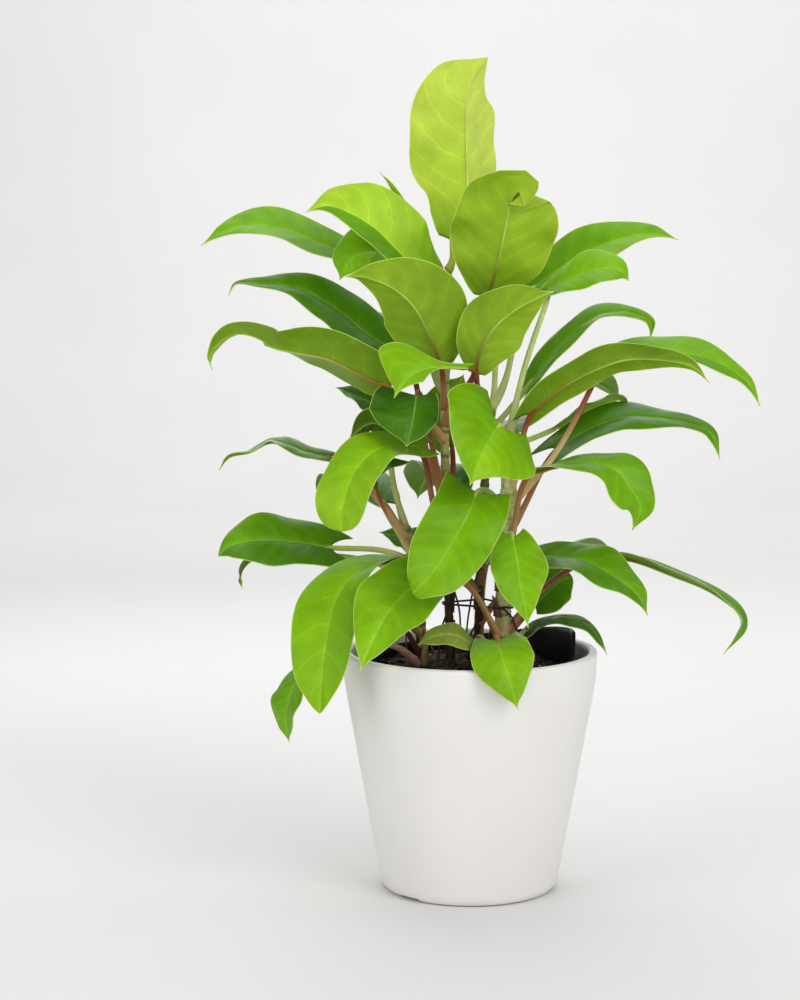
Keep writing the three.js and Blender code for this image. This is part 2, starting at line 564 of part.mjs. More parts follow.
const plant = new THREE.Group();
addPiece(plant, "cover_pot", coverPotSolid(), material(COLOURS.pot, 0.45));
addPiece(plant, "nursery_pot", nurseryPotSolid(), material(COLOURS.nursery, 0.35));
addPiece(plant, "potting_mix", pottingMixSolid(), material(COLOURS.mix, 0.95));
for (const [side, stem] of Object.entries(STEMS)) {
  addPiece(plant, `stem_${side}`, stemSolid(stem), material(COLOURS.stem, 0.6));
}
for (const leaf of LEAVES) {
  addPiece(plant, leaf.name, leafSolid(leaf), material(leafColour(leaf.young), 0.35));
}

for (const tie of TIES) addPiece(plant, tie.name, tieSolid(tie), material(COLOURS.tie, 0.6));

export default plant;
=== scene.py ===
import bisect
import json
import math
import random

import bmesh
import bpy
from mathutils import Matrix, Vector, noise


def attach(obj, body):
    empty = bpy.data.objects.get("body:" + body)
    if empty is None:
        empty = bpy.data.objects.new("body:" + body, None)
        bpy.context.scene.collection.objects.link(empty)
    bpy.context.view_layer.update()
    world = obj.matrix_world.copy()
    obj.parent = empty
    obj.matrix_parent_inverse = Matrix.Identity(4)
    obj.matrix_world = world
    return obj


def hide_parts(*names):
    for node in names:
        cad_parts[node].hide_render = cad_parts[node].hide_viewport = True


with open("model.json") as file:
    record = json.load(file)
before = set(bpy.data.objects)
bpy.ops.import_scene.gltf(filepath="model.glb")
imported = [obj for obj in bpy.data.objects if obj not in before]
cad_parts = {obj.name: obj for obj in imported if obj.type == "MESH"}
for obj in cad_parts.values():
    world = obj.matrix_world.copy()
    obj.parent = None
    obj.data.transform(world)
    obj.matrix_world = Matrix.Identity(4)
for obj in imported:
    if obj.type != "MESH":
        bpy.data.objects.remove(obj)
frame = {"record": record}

MM = 0.001
SLOTS = {part["node"]: part["material_slot"] for part in frame["record"]["subparts"]}
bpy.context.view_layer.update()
scene = bpy.context.scene
scene.view_settings.view_transform = "Standard"

# Camera, in the place that the view was taken from
CAMERA_PLACE = Vector((0, -1.6, 0.45))
CAMERA_LENS = 82.4
CAMERA_SENSOR = 36
CAMERA_TILT_DOWN = math.radians(6.207)
CAMERA_TURN_LEFT = math.radians(1.767)

# Pots, in millimetres, with the flap of the nursery pot's rim and the notches placed by degrees
POT_HEIGHT = 170
POT_RIM_RADIUS = 90
POT_COLLAR_RADIUS = 88
POT_COLLAR_BASE = 143
POT_FOOT_RADIUS = 56
POT_HEEL_RADIUS = 64.5
POT_HEEL_HEIGHT = 12
POT_WALL = 4.7
POT_FLOOR = 6
POT_LIP = 6.7
FOOT_NOTCH_HALF_WIDTH = 9.5
FOOT_NOTCH_HEIGHT = 2.5
FOOT_NOTCH_START = 44
FOOT_NOTCH_ANGLES = [-133, -17, 107]
NURSERY_BASE_RADIUS = 50
NURSERY_RIM_RADIUS = 74
NURSERY_BASE = 6.3
NURSERY_RIM_HEIGHT = 165
NURSERY_WALL = 1.6
NURSERY_FLAP_RISE = 18
NURSERY_FLAP_FRONT_ANGLE = 14
NURSERY_FLAP_BACK_ANGLE = 120
MIX_EDGE_HEIGHT = 156
MIX_MOUND = 4

# Stems, in millimetres: the radius of each one, and its route from inside the mix to its top
STEMS = {
    "left": (3.4, [(-34, 0, 128), (-34, 2, 180), (-38, 5, 222), (-46, 8, 258)]),
    "middle": (3.2, [(-14, 12, 128), (-15, 12, 200), (-17, 9, 270), (-18, 6, 340), (-16, 5, 405),
        (-16, 4, 438)]),
    "back": (3.2, [(5, 26, 128), (7, 26, 210), (10, 24, 280), (15, 20, 345)]),
    "right": (5.8, [(23, -4, 128), (23, -3, 190), (25, -2, 240), (27, -2, 285), (26, -3, 322)]),
}
# Wire ties: the stems that each one binds, and its height
TIES = {
    "wire_tie_lower": (["middle", "back", "right"], 201),
    "wire_tie_upper": (["middle", "back"], 224),
}
WIRE_RADIUS = 0.8

LEAF_USUAL = dict(widest=0.42, heel=0.35, rise=0.8, blunt=0, lobe=0.08, halves=(1, 1), wilt=0)


def grown(stem, at, width, fold, tone, petiole, face, midrib, **own):
    """One leaf's facts, in millimetres and degrees: its stem and the height where its petiole leaves it,
    the blade's full width, how far its halves fold up, its tone from 0, deep green, to 1, lime yellow, the
    name of its petiole's colour, the way that its upper side faces and its midrib's points from base to tip.

    In own, widest, heel and rise shape the outline, blunt rounds the tip or below 0 sharpens it, lobe
    draws the base back beside the petiole, halves widens or narrows each half, face_tip twists the blade,
    via is a point that the petiole passes, half_tones adds to the tone of each half as painted
    shade below 0 and painted light above it, wilt browns the blade and wave is how far the margin waves."""
    midrib = [[int(number) for number in point.split()] for point in midrib.split(",")]
    return dict(LEAF_USUAL, face_tip=face, stem=stem, at=at, width=width, fold=fold, tone=tone,
        petiole=petiole, face=face, midrib=midrib) | own


LEAVES = [
    # leaf_01 to leaf_08: top and upper left
    grown("middle", 437, 80, 30, 0.92, "yellow", (-0.5, 0.85, 0.1),
        "-15 4 458, -10 1 470, -4 -3 488, -4 -3 533, -2 -1 562, 11 4 583", widest=0.56, heel=0.2,
        blunt=0.25, lobe=0, halves=(1, 1.03), half_tones=(0.06, -0.06)),
    grown("middle", 372, 74, 12, 0.66, "red", (0, 0.75, 0.65),
        "11 -15 418, 18 -28 441, 23 -40 465, 27 -50 484, 32 -58 490, 36 -62 480", widest=0.5, heel=0.25,
        blunt=0.5, lobe=0),
    grown("middle", 398, 64, 12, 0.8, "green", (0.1, -0.8, 0.55),
        "-24 -8 428, -37 -14 438, -47 -18 447, -65 -20 465, -83 -20 476, -98 -18 481, -114 -13 477",
        widest=0.5, heel=0.4, lobe=0, halves=(0.42, 1), half_tones=(-0.38, 0)),
    grown("middle", 384, 42, 10, 0.5, "tan", (-0.1, -0.5, 0.85),
        "-87 24 448, -107 26 456, -129 26 465, -153 26 469, -170 25 466, -191 22 454"),
    grown("middle", 352, 50, 8, 0.54, "green", (0, -0.5, 0.85),
        "-40 -3 441, -55 -5 447, -71 -7 450, -84 -8 444, -91 -8 430", face_tip=(-0.2, -0.9, 0.3)),
    grown("middle", 340, 62, 14, 0.52, "red", (-0.2, 0.8, 0.55),
        "-20 -18 371, -29 -30 394, -39 -38 413, -51 -42 424, -63 -45 430, -75 -47 433, -86 -48 433",
        heel=0.3, blunt=-0.2, lobe=0, halves=(1.12, 0.85), wave=0.03),
    grown("middle", 280, 43, 12, 0.3, "red", (-0.3, -0.45, 0.85),
        "-45 12 374, -74 16 393, -96 18 410, -122 18 424, -148 16 427, -166 14 427, -171 14 419",
        widest=0.35),
    grown("middle", 318, 54, 16, 0.5, "tan", (-0.2, 0.7, 0.7),
        "-56 -18 356, -80 -22 368, -99 -23 377, -114 -23 380, -138 -22 385, -144 -22 390, "
        "-160 -22 394, -170 -20 390, -177 -18 383, -181 -16 376, -179 -15 368",
        face_tip=(0.1, 0.1, 1), widest=0.3),
    # leaf_09 to leaf_23: middle left and centre
    grown("middle", 328, 60, 6, 0.6, "red", (-0.25, -0.9, 0.35),
        "0 -44 371, -14 -52 372, -27 -60 372, -37 -67 369, -44 -73 363, -51 -78 353", widest=0.7, heel=0.1,
        rise=8, blunt=-0.6, lobe=0.05, halves=(0.32, 1), wave=0.03),
    grown("right", 294, 66, 10, 0.62, "green", (0.5, -0.78, 0.35),
        "19 -45 332, 14 -58 326, 9 -72 318, 4 -84 308, 0 -92 296", widest=0.3, heel=0.5, blunt=-0.2,
        lobe=0.26, halves=(1.2, 1.3), wave=0.05),
    grown("right", 262, 52, 8, 0.56, "green", (0.25, -0.75, 0.6),
        "4 -50 287, 0 -62 276, -8 -73 262, -16 -85 250, -25 -96 238, -34 -102 229, -38 -99 224",
        widest=0.35, heel=0.9, blunt=0.7),
    grown("right", 176, 54, 10, 0.62, "tan", (-0.1, -0.8, 0.6),
        "-30 -58 230, -43 -70 221, -55 -84 209, -66 -98 189, -73 -108 173", via=(-5, -44, 224), widest=0.35,
        heel=0.6, blunt=-0.2),
    grown("left", 214, 44, 12, 0.6, "olive", (0, 0.2, 1),
        "-47 -20 238, -66 -32 235, -82 -45 227, -92 -57 212, -97 -70 188, -100 -80 162, -101 -84 140",
        face_tip=(-0.2, -1, 0.1), widest=0.52, heel=0.2, blunt=0.6, halves=(0.95, 1.15)),
    grown("left", 180, 40, 10, 0.5, "olive", (-0.8, -0.5, 0.3),
        "-116 -28 161, -123 -38 147, -127 -42 130, -125 -43 111"),
    grown("left", 226, 50, 10, 0.36, "green", (-0.1, -0.65, 0.75),
        "-98 4 241, -116 -2 245, -137 -8 248, -154 -12 248, -169 -12 244, -177 -10 237", heel=0.5,
        blunt=0.4, lobe=0.2),
    grown("left", 210, 30, 8, 0.2, "green", (-0.2, 0.3, 0.93),
        "-100 18 234, -139 20 236, -157 20 230, -164 18 221, -163 14 210"),
    grown("left", 248, 30, 8, 0.3, "tan", (0, -0.4, 0.9),
        "-99 10 305, -117 12 309, -130 12 314, -142 12 316, -156 10 309, -171 9 305, -178 8 296",
        face_tip=(0, 0.3, 0.9)),
    grown("middle", 236, 44, 12, 0.66, "tan", (-0.4, -0.75, 0.5),
        "-31 -25 315, -49 -40 318, -65 -55 315, -76 -66 305, -83 -76 289, -86 -80 274, -86 -80 263",
        widest=0.66, heel=0.3, blunt=1),
    grown("middle", 250, 36, 8, 0.1, "red", (0, 0.6, 0.8),
        "-40 -2 318, -54 -4 327, -70 -6 331, -85 -8 320"),
    grown("middle", 272, 62, 8, 0.22, "red", (0.1, -0.5, 0.85),
        "-37 -40 352, -38 -48 343, -40 -56 331, -43 -62 319", heel=0.8, halves=(0.55, 1)),
    grown("left", 247, 34, 8, 0.14, "green", (-0.2, -0.3, 0.9), "-56 22 335, -74 24 345, -96 24 354",
        via=(-55, 20, 288)),
    grown("left", 234, 20, 10, 0.2, "sandy", (-0.6, -0.3, 0.7),
        "-65 -26 288, -66 -30 297, -55 -32 303, -40 -32 306"),
    grown("back", 208, 30, 8, 0.22, "olive", (-0.2, -0.4, 0.9), "-26 38 233, -46 42 243, -66 44 248"),
    # leaf_24 to leaf_26: lower front
    grown("right", 226, 40, 12, 0.58, "green", (0.1, -0.8, 0.58),
        "29 -55 257, 32 -68 242, 34 -78 226, 37 -84 213, 39 -88 200", heel=0.4, blunt=-0.3),
    grown("right", 168, 43, 8, 0.62, "tan", (-0.05, -0.75, 0.65),
        "19 -64 187, 21 -82 182, 25 -94 170, 29 -99 158, 32 -101 147", heel=0.65, blunt=-0.2, lobe=0.15),
    grown("back", 166, 22, 4, 0.45, "olive", (0, -0.6, 0.8),
        "2 -58 183, -9 -64 190, -19 -66 191, -29 -66 188, -35 -64 184", wilt=0.8),
    # leaf_27 to leaf_40: right side
    grown("right", 214, 44, 8, 0.36, "red", (0.1, -0.45, 0.9),
        "46 -20 240, 62 -28 240, 78 -38 239, 100 -48 228, 114 -54 217, 121 -58 204"),
    grown("right", 180, 40, 12, 0.34, "red", (0.1, 0.3, 0.95),
        "78 10 230, 109 12 234, 144 12 222, 175 10 208, 193 8 190, 180 4 166", face_tip=(0.9, -0.3, 0.3)),
    grown("right", 172, 32, 8, 0.3, "red", (0.2, -0.7, 0.65), "46 18 198, 57 19 209, 65 20 216, 73 22 219",
        blunt=0.8),
    grown("right", 163, 24, -8, 0.16, "green", (0.2, -0.2, 0.95),
        "38 20 178, 50 20 187, 68 18 191, 86 14 184, 98 8 165"),
    grown("back", 340, 44, 12, 0.52, "pale", (0.1, -0.55, 0.83),
        "42 4 424, 63 6 439, 86 8 452, 109 8 460, 128 6 462, 144 4 458"),
    grown("right", 318, 40, 10, 0.55, "pale", (-0.1, -0.6, 0.8),
        "52 -20 423, 69 -26 432, 87 -30 438, 101 -30 437, 108 -28 430", via=(37, -10, 368), widest=0.6,
        heel=0.2),
    grown("right", 308, 48, 14, 0.6, "red", (0.3, 0.75, 0.6),
        "4 -26 366, 7 -32 382, 16 -36 398, 31 -38 411, 56 -38 423", widest=0.45, heel=0.25, lobe=0),
    grown("back", 322, 30, 14, 0.45, "green", (-0.2, -0.35, 0.9),
        "41 10 356, 58 14 379, 75 16 396, 92 16 406, 112 14 407, 126 10 400, 125 8 387"),
    grown("right", 270, 44, 10, 0.46, "sandy", (0.1, -0.4, 0.9),
        "83 8 362, 106 9 374, 127 10 380, 155 10 378, 176 9 371, 193 8 359, 203 6 342", via=(60, -9, 311)),
    grown("right", 284, 38, 10, 0.48, "sandy", (0, 0.6, 0.8),
        "40 -22 337, 60 -30 356, 80 -34 368, 105 -36 377, 128 -36 377, 151 -34 372, 163 -32 361"),
    grown("right", 252, 46, 8, 0.3, "red", (0, -0.33, 0.94),
        "60 10 311, 74 12 320, 90 13 328, 108 13 334, 126 11 334, 153 8 330, 168 5 323, 175 2 305",
        widest=0.3, heel=0.5, lobe=0.15),
    grown("right", 240, 42, 8, 0.46, "tan", (0, 0.2, 1),
        "41 -25 298, 62 -30 304, 83 -36 306, 99 -42 302, 110 -43 288, 116 -43 276, 111 -42 260",
        face_tip=(0.4, -1, 0.2), widest=0.6),
    grown("middle", 246, 46, 8, 0.34, "red", (0, 0.85, 0.5),
        "-13 22 312, -15 24 329, -12 25 346, -5 26 363"),
    grown("back", 296, 30, 8, 0.5, "green", (0.1, 0.3, 0.95),
        "61 34 324, 80 37 336, 97 39 343, 108 39 345, 113 38 337", blunt=0.5),
    # leaf_41 to leaf_48: back
    grown("back", 268, 56, 10, 0.28, "tan", (0, 0.3, 0.95), "12 52 304, 20 74 322, 28 98 324, 34 120 310"),
    grown("middle", 354, 54, 10, 0.45, "green", (0, 0.3, 0.95),
        "-30 36 380, -42 58 396, -56 84 398, -68 108 384"),
    grown("back", 304, 52, 10, 0.4, "red", (0.2, 0.3, 0.95), "46 54 342, 66 68 356, 90 82 356, 112 94 340"),
    grown("left", 236, 50, 10, 0.24, "tan", (-0.2, 0.3, 0.95),
        "-62 34 270, -80 58 284, -98 80 280, -112 98 262"),
    grown("back", 172, 50, 10, 0.26, "olive", (0.1, 0.3, 0.95),
        "12 58 222, 18 80 230, 24 100 222, 30 118 202"),
    grown("back", 238, 48, 10, 0.22, "tan", (-0.1, 0.3, 0.95),
        "-10 56 280, -22 80 292, -32 102 284, -40 122 264"),
    grown("back", 184, 46, 10, 0.3, "red", (0.2, 0.3, 0.95), "50 52 226, 74 66 236, 96 78 228, 114 86 208"),
    grown("back", 332, 52, 10, 0.5, "pale", (0, 0.35, 0.95), "20 40 396, 28 56 418, 38 76 430, 50 100 424"),
    # leaf_49: the rolled new leaf at the top
    grown("middle", 420, 9, 55, 0.8, "green", (-0.4, -0.5, 0.7),
        "-38 12 468, -48 15 483, -56 16 495, -64 14 505", lobe=0),
]

# Colours as they look on a screen, from deep to young, for both sides of a blade
UPPER_TONES = [(0, "274c06"), (0.15, "376408"), (0.3, "4a7c08"), (0.5, "6b9f0a"), (0.66, "7cae0c"),
    (0.85, "a4c832"), (1, "c8de5c")]
UNDER_TONES = [(0, "41600c"), (0.3, "67851a"), (0.5, "7a9a20"), (0.66, "90b026"), (0.85, "acc63c"),
    (1, "cadb60")]
# Petioles, at the foot and below the blade
PETIOLE_COLOURS = {"red": ("b5835c", "7a3c22"), "tan": ("c39c66", "a8663e"), "green": ("bcc47a", "a9c258"),
    "olive": ("a2914e", "7a7830"), "yellow": ("cfd060", "ddd23a"), "pale": ("d2da92", "cfe08e"),
    "sandy": ("e0c88a", "8c3e26")}
RIB_RED = "66260f"
WILTED = "8a9440"
PALE_RIB = "c8e272"
PALE_MARGIN = "d4e67a"


def colour(text):
    """A linear colour from the six letters that a screen colour is written with."""
    parts = [int(text[i:i + 2], 16) / 255 for i in (0, 2, 4)]
    linear = [c / 12.92 if c <= 0.04045 else ((c + 0.055) / 1.055) ** 2.4 for c in parts]
    return Vector(linear)


def paint(text):
    return (*colour(text), 1)


def tone_colour(tones, tone):
    """The colour of a tone, between those on either side of it in a list."""
    for (low, first), (high, second) in zip(tones, tones[1:]):
        if tone <= high:
            return colour(first).lerp(colour(second), (tone - low) / (high - low))
    return colour(tones[-1][1])


def smooth_step(low, high, value):
    share = min(max((value - low) / (high - low), 0), 1)
    return share * share * (3 - 2 * share)


class Route:
    """A line of close points, read by the share of its length."""

    def __init__(self, points):
        self.points = points
        self.reach = [0]
        for first, second in zip(points, points[1:]):
            self.reach.append(self.reach[-1] + (second - first).length)
        self.length = self.reach[-1]

    def at(self, share):
        want = min(max(share, 0), 1) * self.length
        low = min(bisect.bisect_right(self.reach, want), len(self.points) - 1) - 1
        gap = self.reach[low + 1] - self.reach[low]
        return self.points[low].lerp(self.points[low + 1], (want - self.reach[low]) / gap)

    def along(self, share, window=0.012):
        return (self.at(share + window) - self.at(share - window)).normalized()


def smooth_route(points, per_span=24):
    """A centripetal Catmull-Rom curve through given points."""
    knots = [Vector(p) for p in points]
    knots = [2 * knots[0] - knots[1]] + knots + [2 * knots[-1] - knots[-2]]
    samples = []
    for p0, p1, p2, p3 in zip(knots, knots[1:], knots[2:], knots[3:]):
        d0, d1, d2 = [math.sqrt((b - a).length) for a, b in ((p0, p1), (p1, p2), (p2, p3))]
        out = ((p1 - p0) / d0 - (p2 - p0) / (d0 + d1) + (p2 - p1) / d1) * d1
        into = ((p2 - p1) / d1 - (p3 - p1) / (d1 + d2) + (p3 - p2) / d2) * d1
        for i in range(per_span):
            s = i / per_span
            square, cube = s * s, s * s * s
            samples.append(p1 * (1 - 3 * square + 2 * cube) + p2 * (3 * square - 2 * cube)
                + out * (s - 2 * square + cube) + into * (cube - square))
    samples.append(knots[-2])
    return Route(samples)


def bent_route(start, first_bend, second_bend, end, steps=48):
    """A Bezier curve."""
    samples = []
    for i in range(steps + 1):
        s = i / steps
        samples.append(start * (1 - s) ** 3 + first_bend * 3 * s * (1 - s) ** 2
            + second_bend * 3 * s * s * (1 - s) + end * s ** 3)
    return Route(samples)


def stem_route(name):
    return smooth_route(STEMS[name][1])


def stem_point(name, height):
    return min(stem_route(name).points, key=lambda p: abs(p.z - height))


def turned_frames(route, steps):
    """A point, the way along and two ways across at each step, without any twist between them."""
    frames = []
    across = route.along(0).orthogonal().normalized()
    for i in range(steps + 1):
        share = i / steps
        along = route.along(share)
        across = (across - along * across.dot(along)).normalized()
        frames.append((route.at(share), along, across, along.cross(across)))
    return frames


def add_tube(bm, skin, route, sides, steps, radius_at, colour_at):
    """A closed tube along a route. radius_at and colour_at get the share along it and the angle round it."""
    grid = bmesh.ops.create_grid(bm, x_segments=sides, y_segments=steps, size=1)
    frames = turned_frames(route, steps)
    verts = grid["verts"]
    map_flat_places(bm, verts)
    for vert in verts:
        share = 0.5 * (vert.co.y + 1)
        angle = math.pi * vert.co.x
        point, along, first, second = frames[round(share * steps)]
        radius = radius_at(share, angle)
        vert.co = (point + first * radius * math.cos(angle) + second * radius * math.sin(angle)) * MM
        vert[skin] = colour_at(share, angle)
    bmesh.ops.remove_doubles(bm, verts=verts, dist=1e-7)
    bmesh.ops.holes_fill(bm, edges=[e for e in bm.edges if e.is_boundary], sides=0)
    return [v for v in verts if v.is_valid]


def faces_of(bm, verts):
    """The faces round some corners, in the order that they were made, so that each run is the same."""
    bm.faces.index_update()
    return sorted({f for v in verts for f in v.link_faces}, key=lambda face: face.index)


def new_corners(result):
    return {g for g in result["geom"] if isinstance(g, bmesh.types.BMVert)}


def thicken(bm, grid, thickness):
    """Makes a flat grid a closed shell. Returns its corners, always in the same order, and the height of
    the middle between its two sides."""
    faces = faces_of(bm, grid["verts"])
    solid = bmesh.ops.solidify(bm, geom=faces, thickness=thickness)
    verts = {v for f in faces for v in f.verts} | new_corners(solid)
    verts = sorted(verts, key=lambda v: [round(c, 4) for c in v.co])
    heights = [v.co.z for v in verts]
    return verts, 0.5 * (min(heights) + max(heights))


def map_flat_places(bm, verts):
    """Writes each corner's place on the flat sheet into the piece's own map."""
    sheet_map = bm.loops.layers.uv.verify()
    for face in faces_of(bm, verts):
        for loop in face.loops:
            loop[sheet_map].uv = (0.5 * (loop.vert.co.x + 1), 0.5 * (loop.vert.co.y + 1))


def new_skinned():
    """An empty mesh whose corners carry a colour, called skin."""
    bm = bmesh.new()
    bm.loops.layers.uv.new("sheet")
    return bm, bm.verts.layers.float_color.new("skin")


def round_about(angle, height):
    return Vector((math.cos(angle), math.sin(angle), height))


def finish_object(name, bm, material):
    for face in bm.faces:
        face.smooth = True
    mesh = bpy.data.meshes.new(name)
    bm.to_mesh(mesh)
    bm.free()
    mesh.materials.append(material)
    thing = bpy.data.objects.new(name, mesh)
    scene.collection.objects.link(thing)
    return thing


def finish_piece(name, bm, material, slot, node=None):
    bmesh.ops.recalc_face_normals(bm, faces=bm.faces)
    piece = finish_object(name, bm, material)
    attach(piece, "root")
    if node:
        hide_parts(node)


# Most of what a noise texture gives lies between these two
NOISE_SPREAD = (0.3, 0.7)


def add_node(tree, kind, inputs=None, **settings):
    node = tree.nodes.new(kind)
    for name, value in settings.items():
        setattr(node, name, value)
    for name, value in (inputs or {}).items():
        if isinstance(value, bpy.types.NodeSocket):
            tree.links.new(value, node.inputs[name])
        else:
            node.inputs[name].default_value = value
    return node


def add_math(tree, operation, first, second=0.5):
    node = add_node(tree, "ShaderNodeMath", {0: first, 1: second}, operation=operation)
    return node.outputs[0]


def add_noise(tree, scale, detail=4, roughness=0.55):
    place = add_node(tree, "ShaderNodeTexCoord").outputs["Object"]
    texture = add_node(tree, "ShaderNodeTexNoise",
        {"Vector": place, "Scale": scale, "Detail": detail, "Roughness": roughness})
    return texture.outputs["Fac"]


def add_range(tree, value, low, high, to_low, to_high):
    node = add_node(tree, "ShaderNodeMapRange",
        {"Value": value, "From Min": low, "From Max": high, "To Min": to_low, "To Max": to_high})
    return node.outputs["Result"]


def add_clouds(tree, scale, low, high, detail=4, roughness=0.55):
    """Soft noise on the piece, spread over low to high."""
    return add_range(tree, add_noise(tree, scale, detail, roughness), *NOISE_SPREAD, low, high)


def add_mix(tree, share, first, second, blend="MIX"):
    node = add_node(tree, "ShaderNodeMix", {0: share, 6: first, 7: second}, data_type="RGBA",
        blend_type=blend)
    return node.outputs[2]


def add_shade(tree, tint, amount):
    """A colour made lighter or darker by an amount that varies from place to place."""
    amounts = add_node(tree, "ShaderNodeCombineXYZ", {0: amount, 1: amount, 2: amount})
    return add_mix(tree, 1.0, tint, amounts.outputs[0], blend="MULTIPLY")


def add_attribute(tree, name):
    return add_node(tree, "ShaderNodeAttribute", attribute_name=name).outputs


def add_off_line(tree, place):
    """How far a place is from the middle between two lines, which lie at whole numbers: 0.5 on a line."""
    return add_math(tree, "ABSOLUTE", add_math(tree, "SUBTRACT", add_math(tree, "FRACT", place)))


def new_material(name, **shader_values):
    material = bpy.data.materials.new(name)
    material.use_nodes = True
    tree = material.node_tree
    shader = tree.nodes["Principled BSDF"]
    for socket, value in shader_values.items():
        shader.inputs[socket.replace("_", " ")].default_value = value
    return material, tree, shader


def add_bump(tree, shader, height, strength, distance):
    bump = add_node(tree, "ShaderNodeBump", {"Height": height, "Strength": strength, "Distance": distance})
    tree.links.new(bump.outputs["Normal"], shader.inputs["Normal"])


VEIN_COUNT = 7
FINE_VEINS_BETWEEN = 5
VEIN_LEAN = 0.75


def leaf_material(name, roughness, coat):
    """Living leaf: the skin colour of each point, pale side veins with painted shade in the dimples between
    them and a waxy, slightly uneven gloss.
    """
    material, tree, shader = new_material(name, Roughness=roughness, Coat_Weight=coat, Coat_Roughness=0.22,
        Subsurface_Weight=0.15, Subsurface_Scale=0.003, Specular_IOR_Level=0.1)
    shader.inputs["Subsurface Radius"].default_value = (0.6, 1.0, 0.25)
    skin = add_attribute(tree, "skin")
    sheet = add_node(tree, "ShaderNodeUVMap", uv_map="sheet")
    place = add_node(tree, "ShaderNodeSeparateXYZ", {0: sheet.outputs["UV"]})
    wander = add_range(tree, add_noise(tree, 50, detail=3), 0, 1, -0.36, 0.36)
    side_place = add_math(tree, "ADD", add_math(tree, "MULTIPLY", place.outputs["Y"], VEIN_COUNT), wander)
    off_vein = add_off_line(tree, side_place)
    vein = add_range(tree, off_vein, 0.44, 0.5, 0, 1)
    off_fine = add_off_line(tree, add_math(tree, "MULTIPLY", side_place, FINE_VEINS_BETWEEN))
    fine = add_range(tree, off_fine, 0.3, 0.5, 0, 0.18)
    lines = add_math(tree, "MULTIPLY", add_math(tree, "MAXIMUM", vein, fine), skin["Alpha"])
    pale = add_mix(tree, 1.0, skin["Color"], (1.42, 1.26, 1.1, 1), blend="MULTIPLY")
    veined = add_mix(tree, add_math(tree, "MULTIPLY", lines, 0.5), skin["Color"], pale)
    # The distances from the midrib and from the margin, in millimetres
    reaches = add_node(tree, "ShaderNodeSeparateXYZ", {0: add_attribute(tree, "reach")["Vector"]})
    on_rib = add_range(tree, reaches.outputs["X"], 0.15, 0.9, 0.9, 0)
    veined = add_mix(tree, on_rib, veined, add_attribute(tree, "rib_tint")["Color"])
    on_margin = add_range(tree, reaches.outputs["Y"], 0.25, 0.6, 0.7, 0)
    veined = add_mix(tree, on_margin, veined, paint(PALE_MARGIN))
    patches = add_clouds(tree, 45, 0.82, 1.1, detail=6, roughness=0.6)
    # Painted shade: darker midway between the side veins, where the blade dimples, a little lighter near them
    dimple_shade = add_range(tree, off_vein, 0, 0.5, 0.97, 1.04)
    blotched = add_shade(tree, veined, add_math(tree, "MULTIPLY", patches, dimple_shade))
    tree.links.new(blotched, shader.inputs["Base Color"])
    tree.links.new(add_clouds(tree, 90, roughness - 0.06, roughness + 0.08), shader.inputs["Roughness"])
    cells = add_noise(tree, 1500, detail=2)
    height = add_math(tree, "SUBTRACT", cells, add_math(tree, "MULTIPLY", lines, 1.2))
    add_bump(tree, shader, height, 0.35, 0.00025)
    return material


def grainy_material(name, roughness, specular, grain, bumps, strength, distance):
    """The colour of each point, made uneven by a fine grain, over a bumpy surface."""
    material, tree, shader = new_material(name, Roughness=roughness, Specular_IOR_Level=specular)
    shaded = add_shade(tree, add_attribute(tree, "skin")["Color"], add_clouds(tree, **grain))
    tree.links.new(shaded, shader.inputs["Base Color"])
    add_bump(tree, shader, add_noise(tree, **bumps), strength, distance)
    return material


def stem_material():
    """Old cane, with fine cracks and darker streaks."""
    return grainy_material("cane_bark", 0.62, 0.35, dict(scale=420, low=0.55, high=1.35, detail=6,
        roughness=0.7), dict(scale=900, detail=6, roughness=0.7), 0.6, 0.0004)


def crumb_material():
    """Damp peat and bark, with dark pores."""
    return grainy_material("peat_and_bark", 0.85, 0.3, dict(scale=520, low=0.45, high=1.5, detail=6,
        roughness=0.75), dict(scale=1400, detail=5), 0.8, 0.0006)


def glaze_material():
    """Satin white pot: nearly even, with faint clouds, a few pinholes and a soft orange-peel surface."""
    material, tree, shader = new_material("satin_white_glaze", Roughness=0.36, Coat_Weight=0.15,
        Coat_Roughness=0.25, Specular_IOR_Level=0.5)
    base = add_mix(tree, add_clouds(tree, 9, 0, 1, detail=5), paint("e9e6e1"), paint("e3e0db"))
    specks = add_range(tree, add_noise(tree, 330, detail=2), 0.74, 0.79, 0, 0.35)
    tree.links.new(add_mix(tree, specks, base, paint("b5afa6")), shader.inputs["Base Color"])
    tree.links.new(add_clouds(tree, 30, 0.32, 0.44), shader.inputs["Roughness"])
    add_bump(tree, shader, add_noise(tree, 160, detail=3), 0.12, 0.0006)
    return material


def nursery_material():
    """Thin black moulded plastic with dust and pale scuffs."""
    material, tree, shader = new_material("black_nursery_plastic", Roughness=0.4, Specular_IOR_Level=0.2)
    dust = add_range(tree, add_noise(tree, 60, detail=6, roughness=0.65), 0.55, 0.8, 0, 0.12)
    tree.links.new(add_mix(tree, dust, paint("070708"), paint("3a352e")), shader.inputs["Base Color"])
    tree.links.new(add_clouds(tree, 130, 0.3, 0.5), shader.inputs["Roughness"])
    add_bump(tree, shader, add_noise(tree, 45, detail=3), 0.25, 0.0012)
    return material


def wire_material():
    """Black coated wire, scuffed paler in places."""
    material, tree, shader = new_material("black_coated_wire", Roughness=0.5)
    scuffs = add_range(tree, add_noise(tree, 500), 0.55, 0.7, 0, 0.4)
    tree.links.new(add_mix(tree, scuffs, paint("131313"), paint("4c4742")), shader.inputs["Base Color"])
    return material


BLADE_THICKNESS = 0.5
